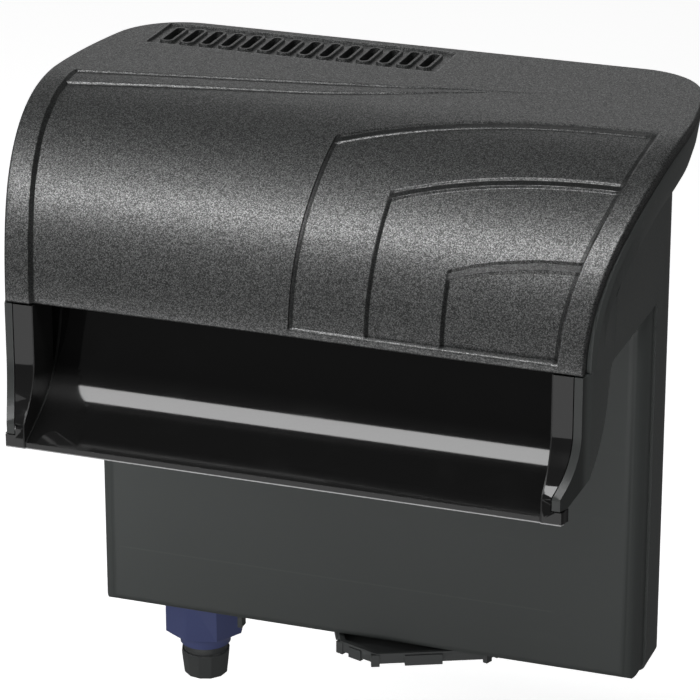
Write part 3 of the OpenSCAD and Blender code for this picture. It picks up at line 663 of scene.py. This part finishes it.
def under_profile(y, z):
    """How far under the lid's profile a point is, and the outward way there, in millimetres."""
    if y >= CROWN[0]:
        return CROWN[1] + CROWN[2] - z, (0.0, 1.0)
    turn = math.degrees(math.atan2(z - CROWN[1], y - CROWN[0]))
    cy, cz, radius = CROWN if turn < NOSE_ANGLE else NOSE
    reach = math.hypot(y - cy, z - cz)
    return radius - reach, ((y - cy) / reach, (z - cz) / reach)


# Relief of the lid, in millimetres along its surface. Edges are (distance inside the line, share
# of the step). Its painted light is painted shade from 0 to 1, darker and less glossy, and painted
# highlight under 0, lighter and glossier
LID_EDGE_R = 0.9
RAMP = 0.25
TOP_EDGE = ((0.0, 0.0), (0.8, 0.6), (3.3, 0.15), (4.1, 1.0))
LEFT_EDGE = ((0.0, 0.0), (0.2, 0.1), (1.3, 1.0))
BORDER_EDGE = ((0.0, 0.0), (0.15, 0.1), (1.4, 1.0))
PANEL_EDGE = ((0.0, 0.0), (0.8, 1.0))
CHAMFER = (0.7, 0.45)
# Painted highlight value, painted shade on the ledges, and the width of the painted shade line
# inside the right border
PAINTED_HIGHLIGHT = -0.8
LEDGE_PAINTED_SHADE = 0.95
BORDER_PAINTED_SHADE = 1.5
DEEPEST = 2.75
TERRACES = ((0.0, 18.9), (25.2, -11.8), (49.8, -37.5))
TERRACE_PEAK_X = 93.0
TERRACE_R = 200.0
TERRACE_STEP = 0.82
TERRACE_LOW = 3.2
TERRACE_END = 101.0
BORDER = 8.0
BORDER_TOPS = (20.0, 32.0)
PANEL_SINK = 1.3
PANEL_LINE = (36.2, 0.175)
PANEL_GAP = (9.0, -30.0, 90.0)
PANEL_FADE = (-20.0, 85.0)
PANEL_ENDS = (-100.0, 64.0)
# Where the painted highlight along the panel's edges ends
PANEL_HIGHLIGHT_END = 40.0
VENT = (-90.0, 14.0, 55.5, 78.5)
VENT_MIDDLE = ((VENT[0] + VENT[1]) / 2, (VENT[2] + VENT[3]) / 2)
VENT_SINK = 1.0
# How far out from the vent its painted highlight rim reaches
VENT_HIGHLIGHT_RIM = 0.6
SLOTS = 14
SLOT_SIDES = 20
SLOT_PITCH = 7.1
SLOT_HALF_W = 1.6
SLOT_HALF_L = 7.5
SLOT_RIM = 0.9
TAB_X = 34.25
TAB = (20.0, 2.5, 12.0)
TAB_Y = 68.85
LID_WALL = 3.0
LID_SKIRT = 3.8
MESH_ROWS = 64
MESH_HALF = 36
MESH_STEP = 2.5
MESH_GRID = (3.05, 3.02)
MESH_MARGIN = 1.5
MESH_FLAT = 0.08
BESIDE = 0.05
EDGE_GAP = 0.2
SLACK = 0.01
NOSE_RUN = math.radians(180.0 - NOSE_ANGLE) * NOSE[2]
CROWN_RUN = math.radians(NOSE_ANGLE - 90.0) * CROWN[2]


def profile_point(run):
    """Point and outward way, (y, z, ny, nz), at a run along the lid's profile from its front."""
    if run < NOSE_RUN:
        angle, (cy, cz, radius) = math.pi - run / NOSE[2], NOSE
    elif run < NOSE_RUN + CROWN_RUN:
        angle, (cy, cz, radius) = math.radians(NOSE_ANGLE) - (run - NOSE_RUN) / CROWN[2], CROWN
    else:
        return CROWN[0] + run - NOSE_RUN - CROWN_RUN, CROWN[1] + CROWN[2], 0.0, 1.0
    ny, nz = math.cos(angle), math.sin(angle)
    return cy + radius * ny, cz + radius * nz, ny, nz


def profile_run(y):
    """Run along the lid's profile where it reaches y."""
    if y >= CROWN[0]:
        return NOSE_RUN + CROWN_RUN + y - CROWN[0]
    turn = math.acos(min(max((y - NOSE[0]) / NOSE[2], -1.0), 1.0))
    if math.degrees(turn) > NOSE_ANGLE:
        return (math.pi - turn) * NOSE[2]
    return NOSE_RUN + (math.radians(NOSE_ANGLE) - math.acos((y - CROWN[0]) / CROWN[2])) * CROWN[2]


def plan_half(y, inset):
    """Half width of the lid's plan at y, drawn in by inset."""
    side_x, side_y, side_r = PLAN_SIDE
    corner_x, corner_y, corner_r = PLAN_CORNER
    tangent = corner_y + (corner_r - inset) * (corner_y - side_y) / (side_r - corner_r)
    if y < tangent:
        return side_x + math.sqrt((side_r - inset) ** 2 - (y - side_y) ** 2)
    return corner_x + math.sqrt(max(0.0, (corner_r - inset) ** 2 - (y - corner_y) ** 2))


def ease(t):
    """0 below 0, 1 above 1, smooth between."""
    t = min(max(t, 0.0), 1.0)
    return t * t * (3.0 - 2.0 * t)


def ramp(d):
    """Share of a plain step's depth at a distance inside its line."""
    return min(max(d / RAMP, 0.0), 1.0)


def trace(points, at):
    """Second value of a line through points, at a first value."""
    for (a0, b0), (a1, b1) in zip(points, points[1:]):
        if at <= a1:
            return b0 + (b1 - b0) * (at - a0) / (a1 - a0)
    return points[-1][1]


def edge_share(d, shape):
    """Share of a step's depth that its edge has at a distance inside its line."""
    return max(trace(shape, d), 0.0)


def both_sides(line):
    """Two lines close beside one."""
    return line - BESIDE, line + BESIDE


def edge_lines(shape):
    """Distances inside its line at which an edge bends, with one beside each long flat's ends."""
    lines = [-EDGE_GAP]
    for (d0, _), (d1, _) in zip(shape, shape[1:]):
        lines += [d0, d0 + EDGE_GAP, d1 - EDGE_GAP] if d1 - d0 > 0.5 else [d0]
    return lines + [shape[-1][0], shape[-1][0] + EDGE_GAP]


def terrace_top(x, peak):
    """Plan line of a terrace's top edge."""
    across = min(max(x - TERRACE_PEAK_X, -0.6 * TERRACE_R), 0.0)
    return peak - TERRACE_R + math.sqrt(TERRACE_R**2 - across**2)


def panel_line(x):
    """Plan line of the main panel's upper edge."""
    return PANEL_LINE[0] + PANEL_LINE[1] * x


def panel_gap(x):
    """Width of the panel's ledge, which closes to the right."""
    width, start, reach = PANEL_GAP
    return width * (1.0 - ease((x - start) / reach))


def slot_distance(x, y):
    """How far outside the nearest vent slot a point is."""
    k = min(max(round((x - VENT_MIDDLE[0]) / SLOT_PITCH + (SLOTS - 1) / 2), 0), SLOTS - 1)
    across = x - VENT_MIDDLE[0] - (k - (SLOTS - 1) / 2) * SLOT_PITCH
    along = y - VENT_MIDDLE[1]
    along -= math.copysign(min(abs(along), SLOT_HALF_L - SLOT_HALF_W), along)
    return math.hypot(across, along) - SLOT_HALF_W


def lid_depth(x, run):
    """How far the lid's outer face lies under its plain profile, and how much painted shade (above
    0) and painted highlight (below 0) it has there.
    """
    y = profile_point(run)[0]
    inset = plan_inset(x, y)[0]
    edge = max(0.0, LID_EDGE_R - max(0.0, min(inset, run)))
    depth = LID_EDGE_R - math.sqrt(LID_EDGE_R * LID_EDGE_R - edge * edge)
    bare = 0.0
    frame_in = min(ramp(inset - BORDER), ramp(run - TERRACE_LOW))
    for left, peak in TERRACES:
        down = profile_run(terrace_top(x, peak)) - run
        share = min(frame_in, edge_share(down, TOP_EDGE), edge_share(x - left, LEFT_EDGE))
        depth += TERRACE_STEP * share
        # Painted shade on the terraces' ledges and left edges
        if frame_in and down > 0.0 and x > left:
            ledge = TOP_EDGE[1][0] <= down <= TOP_EDGE[2][0]
            bare = max(bare, x - left < LEFT_EDGE[-1][0], LEDGE_PAINTED_SHADE * ledge)
    if 0.0 < x and run < profile_run(terrace_top(x, TERRACES[0][1])):
        rise = min(inset - BORDER, run - TERRACE_LOW) / CHAMFER[0] + 1.0
        depth = max(depth, CHAMFER[1] * min(max(rise, 0.0), 1.0))
        # Painted highlight on the chamfer; painted shade in a line inside the right border
        bare = PAINTED_HIGHLIGHT if 0.0 < rise <= 1.0 else max(bare, frame_in and inset - BORDER < BORDER_PAINTED_SHADE)
    fade = PANEL_SINK / 2 * (1.0 - ease((x - PANEL_FADE[0]) / PANEL_FADE[1]))
    border = edge_share(inset - BORDER, BORDER_EDGE) if x < 0 else 1.0
    line = panel_line(x)
    for low in (line, line - panel_gap(x)):
        down = profile_run(low) - run
        depth += fade * min(border, edge_share(down, PANEL_EDGE))
        # Painted highlight along the panel's edges
        if x < PANEL_HIGHLIGHT_END and border and -SLACK < down < PANEL_EDGE[-1][0] + SLACK:
            bare = PAINTED_HIGHLIGHT
    # Painted shade inside the left border's edge
    if x < 0 and y < line:
        bare = max(bare, 0.0 < inset - BORDER < BORDER_EDGE[-1][0])
    sunk = min(x - VENT[0], VENT[1] - x, y - VENT[2], VENT[3] - y)
    # Painted highlight in a rim around the vent
    if -VENT_HIGHLIGHT_RIM < sunk < SLACK:
        bare = PAINTED_HIGHLIGHT
    if sunk > 0:
        depth += VENT_SINK * min(ramp(sunk), ramp(slot_distance(x, y) - SLOT_RIM))
    return min(depth, DEEPEST), float(bare)


def lid_lines():
    """Lines that the lid's mesh follows, as lists of (x, run)."""
    lines = []
    end = profile_run(PLAN_BACK)
    rows = [end * k / MESH_ROWS for k in range(MESH_ROWS + 1)]
    rounding = (0.0, 0.12, 0.4, LID_EDGE_R)
    for inset in (*rounding, *both_sides(LID_WALL)):
        spots = [r for r in rows if profile_point(r)[0] < PLAN_CORNER[1]]
        rise = [math.radians(a) for a in range(0, 91, 6)]
        corner, radius = PLAN_CORNER[1], PLAN_CORNER[2] - inset
        spots += [profile_run(corner + radius * math.sin(a)) for a in rise]
        side = [(plan_half(profile_point(r)[0], inset), r) for r in spots]
        back = [(x, side[-1][1]) for x in range(60, -61, -15)]
        lines.append(side + back + [(-x, r) for x, r in reversed(side)])
    for run in rounding:
        half = plan_half(profile_point(run)[0], 0.0)
        spots = [half * (k / MESH_HALF - 1.0) for k in range(2 * MESH_HALF + 1)]
        lines.append([(x, run) for x in spots])
    step_lines = (0.0, RAMP, 2.0 * RAMP)
    chamfer_lines = (-CHAMFER[0] - EDGE_GAP, -CHAMFER[0], *step_lines)
    right, left = ([r for r in rows if profile_point(r)[0] < top] for top in BORDER_TOPS)
    for d in (*chamfer_lines, *both_sides(BORDER_PAINTED_SHADE)):
        lines.append([(plan_half(profile_point(r)[0], BORDER + d), r) for r in right])
    for d in edge_lines(BORDER_EDGE):
        lines.append([(-plan_half(profile_point(r)[0], BORDER + d), r) for r in left])
    for left, peak in TERRACES:
        xs = [left - 1.0 + k * MESH_STEP for k in range(int((TERRACE_END - left) / MESH_STEP))]
        for d in edge_lines(TOP_EDGE):
            lines.append([(x, profile_run(terrace_top(x, peak)) - d) for x in xs])
        for d in edge_lines(LEFT_EDGE):
            top = profile_run(terrace_top(left, peak)) + 1.0
            count = max(2, int(top / MESH_STEP))
            lines.append([(left + d, 2.0 + (top - 2.0) * k / count) for k in range(count + 1)])
        for d in chamfer_lines:
            lines.append([(x, TERRACE_LOW + d) for x in xs])
    start, stop = PANEL_ENDS
    xs = [start + k * MESH_STEP for k in range(int((stop - start) / MESH_STEP) + 1)]
    gap_xs = [x for x in xs if x < PANEL_HIGHLIGHT_END]
    for d in edge_lines(PANEL_EDGE):
        lines.append([(x, profile_run(panel_line(x)) - d) for x in xs])
        lines.append([(x, profile_run(panel_line(x) - panel_gap(x)) - d) for x in gap_xs])
    for d in (*both_sides(-VENT_HIGHLIGHT_RIM), *step_lines):
        x0, x1 = VENT[0] + d, VENT[1] - d
        y0, y1 = profile_run(VENT[2] + d), profile_run(VENT[3] - d)
        lines.append([(x0, y0), (x1, y0), (x1, y1), (x0, y1), (x0, y0)])
    middle = profile_run(VENT_MIDDLE[1])
    for k in range(SLOTS):
        cx = VENT_MIDDLE[0] + (k - (SLOTS - 1) / 2) * SLOT_PITCH
        sunk = SLOT_RIM + RAMP
        for grow in (0.0, RAMP, SLOT_RIM - EDGE_GAP, SLOT_RIM, sunk, sunk + EDGE_GAP):
            radius, straight = SLOT_HALF_W + grow, SLOT_HALF_L - SLOT_HALF_W
            ring = []
            for j in range(SLOT_SIDES):
                a = 2 * math.pi * (j + 0.5) / SLOT_SIDES
                along = radius * math.sin(a) + math.copysign(straight, math.sin(a))
                ring.append((cx + radius * math.cos(a), middle + along))
            lines.append(ring + ring[:1])
    return lines


def lid_shell():
    """The lid as one closed shell: outer face with its relief, inner face, skirt and slots."""
    spots, edges = [], []
    for line in lid_lines():
        start = len(spots)
        spots.extend(Vector(p) for p in line)
        edges.extend((start + k, start + k + 1) for k in range(len(line) - 1))
    end = profile_run(PLAN_BACK)
    reach = int(plan_half(PLAN_SIDE[1], 0.0) / MESH_GRID[0])
    for i in range(-reach, reach + 1):
        for j in range(1, int(end / MESH_GRID[1])):
            x, run = i * MESH_GRID[0], j * MESH_GRID[1]
            inset = min(end - run, plan_inset(x, profile_point(run)[0])[0])
            if inset < MESH_MARGIN:
                continue
            ways = ((-1, 0), (1, 0), (0, -1), (0, 1), (0, 0))
            near = [lid_depth(x + a, run + b)[0] for a, b in ways]
            if max(near) - min(near) < MESH_FLAT:
                spots.append(Vector((x, run)))
    flat, _, faces = delaunay_2d_cdt(spots, edges, [], 0, 1e-4)[:3]
    bm = bmesh.new()
    bare = bm.verts.layers.float.new("bare")
    outer, inner = [], []
    for p in flat:
        y, z, ny, nz = profile_point(p.y)
        inset = plan_inset(p.x, y)[0]
        skirt = LID_SKIRT if inset < LID_WALL and p.y >= SLACK else LID_WALL
        # The outer face gets the relief's painted shade and highlight; the inner face gets full
        # painted shade
        for ring, (depth, plain) in ((outer, lid_depth(p.x, p.y)), (inner, (skirt, 1.0))):
            vert = bm.verts.new((p.x * MM, (y - ny * depth) * MM, (z - nz * depth) * MM))
            vert[bare] = plain
            ring.append(vert)
    for face in faces:
        x = sum(flat[i].x for i in face) / len(face)
        run = sum(flat[i].y for i in face) / len(face)
        y = profile_point(run)[0]
        if run < 0.0 or plan_inset(x, y)[0] < -SLACK:
            continue
        if y > VENT[2] and slot_distance(x, y) < -SLACK:
            continue
        bm.faces.new([outer[i] for i in face])
        bm.faces.new([inner[i] for i in reversed(face)])
    pair = dict(zip(outer, inner))
    for edge in [e for e in bm.edges if len(e.link_faces) == 1 and e.verts[0] in pair]:
        loop = edge.link_loops[0]
        a, b = loop.vert, loop.link_loop_next.vert
        bm.faces.new([b, a, pair[a], pair[b]])
    bmesh.ops.delete(bm, geom=[v for v in bm.verts if not v.link_faces], context="VERTS")
    for x in (-TAB_X, TAB_X):
        z = CROWN[1] + CROWN[2] - LID_WALL - TAB[2] / 2
        place = Matrix.Translation(Vector((x, TAB_Y, z)) * MM)
        place = place @ Matrix.Diagonal((*(Vector(TAB) * MM), 1.0))
        bmesh.ops.create_cube(bm, size=1.0, matrix=place)
    return bm


class FILTER_OT_lid(bpy.types.Operator):
    """The lift-off lid with its vent, panel and terraces"""

    bl_idname = "tank_filter.lid"
    bl_label = "Lid"

    def execute(self, context):
        piece = piece_from(lid_shell(), "lid_shell", "lid_textured", smooth=62.0)
        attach(piece, "lid")
        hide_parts("lid")
        return {"FINISHED"}


# The flare under the rim, as (inset, depth): the smooth cove, the corners of the solid's steps that
# it takes up, the insets that it reaches, where it fades out towards the front, and how near to a
# corner and to a tread of the steps a vertex counts as on it
COVE = ((0.4, 7.6), (1.3, 13.5), (2.7, 18.4), (4.6, 22.0), (7.0, 25.3), (9.0, 28.5), (10.6, 31.0))
STEPS = ((0.4, 7.6), (3.6, 7.6), (3.6, 17.6), (6.8, 17.6), (6.8, 27.6))
COVE_INSETS = (0.3, 10.5)
COVE_FADE = (-32.0, 18.0)
NEAR_CORNER = 0.2
NEAR_TREAD = 0.15


def rim_cove(bm):
    """Draws the stepped flare under the rim onto one smooth cove."""
    for v in bm.verts:
        x, y, z = (c / MM for c in v.co)
        inset, way = plan_inset(x, y)
        if not COVE_INSETS[0] < inset < COVE_INSETS[1]:
            continue
        depth, (ny, nz) = under_profile(y, z)
        here = (inset, depth)
        goal = next((c for c, s in zip(COVE, STEPS) if math.dist(s, here) < NEAR_CORNER), None)
        if goal is None:
            if min(abs(depth - d) for _, d in STEPS) > NEAR_TREAD:
                continue
            goal = (inset, trace(COVE, inset))
        share = ease((y - COVE_FADE[0]) / COVE_FADE[1])
        sink = (goal[1] - depth) * share
        shift = (inset - goal[0]) * share
        v.co += Vector((way[0] * shift, way[1] * shift - ny * sink, -nz * sink)) * MM


# The front edges of the cheeks and wings, in millimetres: the solids' arc as (y, z, radius), its
# lower end, how near to it a vertex counts as on it, and the finer line of a straight and two
# arcs, each as (top, y, z, radius)
FRONT_ARC = (-77.0, -13.9, 27.0)
FRONT_LOW = -33.2
NEAR_ARC = 0.12
FRONT_Y = -50.0
FRONT_CURVES = ((-14.0, -72.0, -14.0, 22.0), (-28.72, -85.38, -1.95, 40.0))
# The wings' cut feet in the solid, how near counts as on them, and the feet they get, as (y, z)
FOOT_CUT = ((-57.9, -33.0), (-56.0, -36.4))
NEAR_CUT = 0.2
FOOT = ((-59.5, -33.2), (-59.5, -36.6), (-56.0, -36.6))
# Inner faces of the cheeks and of the wings, and how far a wing spreads as it comes forward
CHEEK_IN = 86.5
WING_IN = 87.5
WING_SPREAD = 0.42
# The cheeks' outer faces as half widths (from, to, to where z is above 0), how far they move out,
# and the y from which and the length over which they do
CHEEK_OUT = (88.0, 93.6, 94.5)
CHEEK_SHIFT = 0.75
CHEEK_START = (-45.5, 3.0)


def front_line(z):
    """Where the front edges lie at a height: straight, then along one arc and another."""
    y = FRONT_Y
    for top, cy, cz, radius in FRONT_CURVES:
        if z <= top:
            y = max(FOOT[0][0], cy + math.sqrt(radius**2 - (z - cz) ** 2))
    return y


def front_edges(bm):
    """Draws the front edges onto their line."""
    cy, cz, radius = FRONT_ARC
    for v in bm.verts:
        x, y, z = (c / MM for c in v.co)
        if abs(x) < CHEEK_IN or not FRONT_LOW < z < cz:
            continue
        if abs(cy + math.sqrt(radius**2 - (z - cz) ** 2) - y) < NEAR_ARC:
            shift = front_line(z) - y
            v.co.y += shift * MM
            if abs(x) > WING_IN:
                v.co.x += math.copysign(WING_SPREAD, x) * shift * MM


def wing_feet(bm):
    """The body's reshaped edges: its cove, and wings that reach down to the spout's ends."""
    rim_cove(bm)
    front_edges(bm)
    (y0, z0), (y1, z1) = FOOT_CUT
    for v in bm.verts:
        x, y, z = (c / MM for c in v.co)
        share = (z - z0) / (z1 - z0)
        off = abs(y0 + (y1 - y0) * share - y)
        if abs(x) > CHEEK_IN and 0.02 < share < 1.02 and off < NEAR_CUT:
            k = min(int(share * 2.0), 1)
            (ya, za), (yb, zb) = FOOT[k : k + 2]
            part = share * 2.0 - k
            goal = ya + (yb - ya) * part
            v.co.x += math.copysign(WING_SPREAD, x) * (goal - y) * MM
            v.co.y, v.co.z = goal * MM, (za + (zb - za) * part) * MM


def cheek_sides(bm):
    """The spout's reshaped cheeks, which stand close to the wings."""
    front_edges(bm)
    inside, low_outside, outside = CHEEK_OUT
    start, reach = CHEEK_START
    for v in bm.verts:
        x, y, z = (c / MM for c in v.co)
        if inside < abs(x) < (outside if z > 0.0 else low_outside) and y < start:
            v.co.x += math.copysign(CHEEK_SHIFT * ease((start - y) / reach), x) * MM


class FILTER_OT_body(bpy.types.Operator):
    """The box that hangs behind the tank, with its deck, wings and rim"""

    bl_idname = "tank_filter.body"
    bl_label = "Body"

    def execute(self, context):
        width = context.scene.filter_sizes.body_edge
        moulding("filter_body", "body_shell", "housing", width, wing_feet, angle=40.0)
        paint_nodes("intake_riser", "riser_seal", "pump_cover", "upper_bush")
        return {"FINISHED"}


class FILTER_OT_spout(bpy.types.Operator):
    """The glossy spillway spout with its two cheeks"""

    bl_idname = "tank_filter.spout"
    bl_label = "Spout"

    def execute(self, context):
        width = context.scene.filter_sizes.spout_edge
        moulding("spillway_chute", "spout_shell", "housing", width, cheek_sides)
        return {"FINISHED"}


class FILTER_OT_motor(bpy.types.Operator):
    """The motor cup, its gland and what runs inside it"""

    bl_idname = "tank_filter.motor"
    bl_label = "Motor"

    def execute(self, context):
        width = context.scene.filter_sizes.motor_edge
        moulding("motor_housing", "motor_cup", "motor", width)
        moulding("cord_gland", "gland_sleeve", "motor", width)
        paint_nodes("rotor_can", "motor_seal", "stator_core", "coil_bobbin", "lower_bush")
        coil_winding()
        paint_nodes("impeller_shaft", "gland_seal", "impeller", "rotor_magnet")
        return {"FINISHED"}


class FILTER_OT_leveller(bpy.types.Operator):
    """The levelling dial with its screw and washer"""

    bl_idname = "tank_filter.leveller"
    bl_label = "Leveller"

    def execute(self, context):
        moulding("leveller_cam", "levelling_dial", "leveller", context.scene.filter_sizes.body_edge)
        paint_nodes("leveller_screw", "leveller_washer")
        return {"FINISHED"}


def floss_pad(node, crown):
    """A crowned pad of floss in the space of its CAD solid, matted on both faces."""
    low, high = (Vector(c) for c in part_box(node))
    size = high - low
    across, up = 64, 44
    middle = (low + high) / 2
    bm = bmesh.new()
    faces = []
    for side in (-1.0, 1.0):
        grid = []
        for j in range(up + 1):
            row = []
            for i in range(across + 1):
                u, w = 2.0 * i / across - 1.0, 2.0 * j / up - 1.0
                edge = (1.0 - u**8) * (1.0 - w**8)
                spot = Vector((middle.x + u * size.x / 2, 0.0, middle.z + w * size.z / 2))
                mat = noise.fractal(spot * 160.0 + Vector((0.0, side * 9.0, 0.0)), 0.9, 2.2, 4)
                thick = size.y / 2 * (0.25 + 0.75 * edge**0.5) - crown * (0.35 + 0.3 * mat) * edge
                spot.y = middle.y + side * min(max(thick, 0.0002), size.y / 2)
                row.append(bm.verts.new(spot))
            grid.append(row)
        faces.append(grid)
        for j in range(up):
            for i in range(across):
                ring = [grid[j][i], grid[j][i + 1], grid[j + 1][i + 1], grid[j + 1][i]]
                bm.faces.new(ring if side < 0 else ring[::-1])
    front, back = faces
    rim = [(0, i) for i in range(across + 1)]
    rim += [(j, across) for j in range(1, up + 1)]
    rim += [(up, i) for i in range(across - 1, -1, -1)]
    rim += [(j, 0) for j in range(up - 1, 0, -1)]
    for k, (j, i) in enumerate(rim):
        jj, ii = rim[(k + 1) % len(rim)]
        bm.faces.new([front[jj][ii], front[j][i], back[j][i], back[jj][ii]])
    bmesh.ops.recalc_face_normals(bm, faces=bm.faces)
    return bm


class FILTER_OT_cartridge(bpy.types.Operator):
    """The filter cartridge: frame, two floss pads and the carbon between them"""

    bl_idname = "tank_filter.cartridge"
    bl_label = "Cartridge"

    def execute(self, context):
        sizes = context.scene.filter_sizes
        moulding("cartridge_frame", "cartridge_rails", "cartridge", sizes.body_edge)
        for node, side in (("floss_front", -1.0), ("floss_back", 1.0)):
            shape = floss_pad(node, sizes.floss_crown)
            pad = piece_from(shape, node + "_pad", "floss", smooth=60.0)
            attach(pad, "cartridge")
            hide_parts(node)
            floss_fibres(pad, side)
        carbon_granules()
        return {"FINISHED"}


# The studio, in metres: soft boxes as (place, aim, width, height, glow), and the camera
FLOOR_Z = -0.24
ROOM_GLOW = 0.10
LIGHTS = {
    "top_box": ((-0.30, -0.404, 0.92), (-0.30, -0.404, 0.0), 1.5, 0.28, 8.5),
    "front_box": ((0.0, -2.1, 0.75), (0.0, 0.0, -0.05), 0.9, 1.0, 0.72),
    "left_box": ((-1.6, -1.7, 0.8), (0.0, 0.0, 0.0), 1.0, 1.2, 0.7),
    "back_box": ((-0.5, 2.4, 0.95), (0.0, 0.3, 0.0), 2.4, 0.6, 1.0),
    "low_card": ((-0.2, -0.55, -0.235), (-0.2, -0.55, 1.0), 1.1, 0.7, 1.1),
}
CAMERA_PLACE = (0.3765, -1.0529, 0.4297)
CAMERA_WAY = (-0.310, 0.8752, -0.3714)
CAMERA_LENS = 188.7


def area_light(name, place, aim, width, height, glow):
    """A soft box of a given glow, aimed at a point."""
    lamp = bpy.data.lights.new(name, "AREA")
    lamp.shape = "RECTANGLE"
    lamp.size = width
    lamp.size_y = height
    lamp.energy = glow * math.pi * width * height
    box = placed(name, lamp)
    box.location = place
    box.rotation_euler = (Vector(aim) - Vector(place)).to_track_quat("-Z", "Y").to_euler()
    box.visible_camera = False


class FILTER_OT_stage(bpy.types.Operator):
    """Pale floor, soft boxes, a dim room and the camera"""

    bl_idname = "tank_filter.stage"
    bl_label = "Stage"

    def execute(self, context):
        scene = context.scene
        bm = bmesh.new()
        bmesh.ops.create_grid(bm, x_segments=8, y_segments=8, size=6.0)
        bmesh.ops.translate(bm, verts=bm.verts, vec=(0.0, 0.0, FLOOR_Z))
        mesh = mesh_of(bm, "floor")
        paint = Paint("floor_paint")
        cloud = paint.noise(0.4, 2.0)
        rgb = scene.filter_colours.floor
        mesh.materials.append(
            paint.set(
                Base_Color=paint.mix(cloud, shade(rgb, 0.985), rgb),
                Roughness=0.75 + cloud * 0.1,
                Emission_Color=(1.0, 1.0, 1.0, 1.0),
                Emission_Strength=0.7,
            )
        )
        floor = placed("floor", mesh)
        floor.visible_glossy = False
        floor.visible_diffuse = False

        world = bpy.data.worlds.new("dim_room")
        world.use_nodes = True
        air = world.node_tree.nodes["Background"]
        air.inputs["Color"].default_value = (1.0, 1.0, 1.0, 1.0)
        air.inputs["Strength"].default_value = ROOM_GLOW
        scene.world = world

        for name, box in LIGHTS.items():
            area_light(name, *box)

        lens = bpy.data.cameras.new("camera")
        lens.lens = CAMERA_LENS
        lens.sensor_width = 36.0
        lens.clip_end = 50.0
        camera = placed("camera", lens)
        camera.location = CAMERA_PLACE
        camera.rotation_euler = Vector(CAMERA_WAY).to_track_quat("-Z", "Y").to_euler()
        scene.camera = camera
        scene.view_settings.view_transform = "Standard"
        return {"FINISHED"}


OPERATORS = (
    FILTER_OT_stage,
    FILTER_OT_lid,
    FILTER_OT_body,
    FILTER_OT_spout,
    FILTER_OT_motor,
    FILTER_OT_leveller,
    FILTER_OT_cartridge,
)


class FILTER_PT_sidebar(bpy.types.Panel):
    """Sizes, colours and pieces of the filter"""

    bl_label = "Tank Filter"
    bl_idname = "FILTER_PT_sidebar"
    bl_space_type = "VIEW_3D"
    bl_region_type = "UI"
    bl_category = "Tank Filter"

    def draw(self, context):
        for group in (context.scene.filter_sizes, context.scene.filter_colours):
            column = self.layout.column(align=True)
            for key in group.__annotations__:
                column.prop(group, key)
        for operator in OPERATORS:
            self.layout.operator(operator.bl_idname)


CLASSES = (FilterSizes, FilterColours, *OPERATORS, FILTER_PT_sidebar)


def register():
    for kind in CLASSES:
        bpy.utils.register_class(kind)
    bpy.types.Scene.filter_sizes = bpy.props.PointerProperty(type=FilterSizes)
    bpy.types.Scene.filter_colours = bpy.props.PointerProperty(type=FilterColours)


def unregister():
    del bpy.types.Scene.filter_colours
    del bpy.types.Scene.filter_sizes
    for kind in reversed(CLASSES):
        bpy.utils.unregister_class(kind)


def main():
    register()
    for operator in OPERATORS:
        family, name = operator.bl_idname.split(".")
        getattr(getattr(bpy.ops, family), name)()


if __name__ == "__main__":
    main()
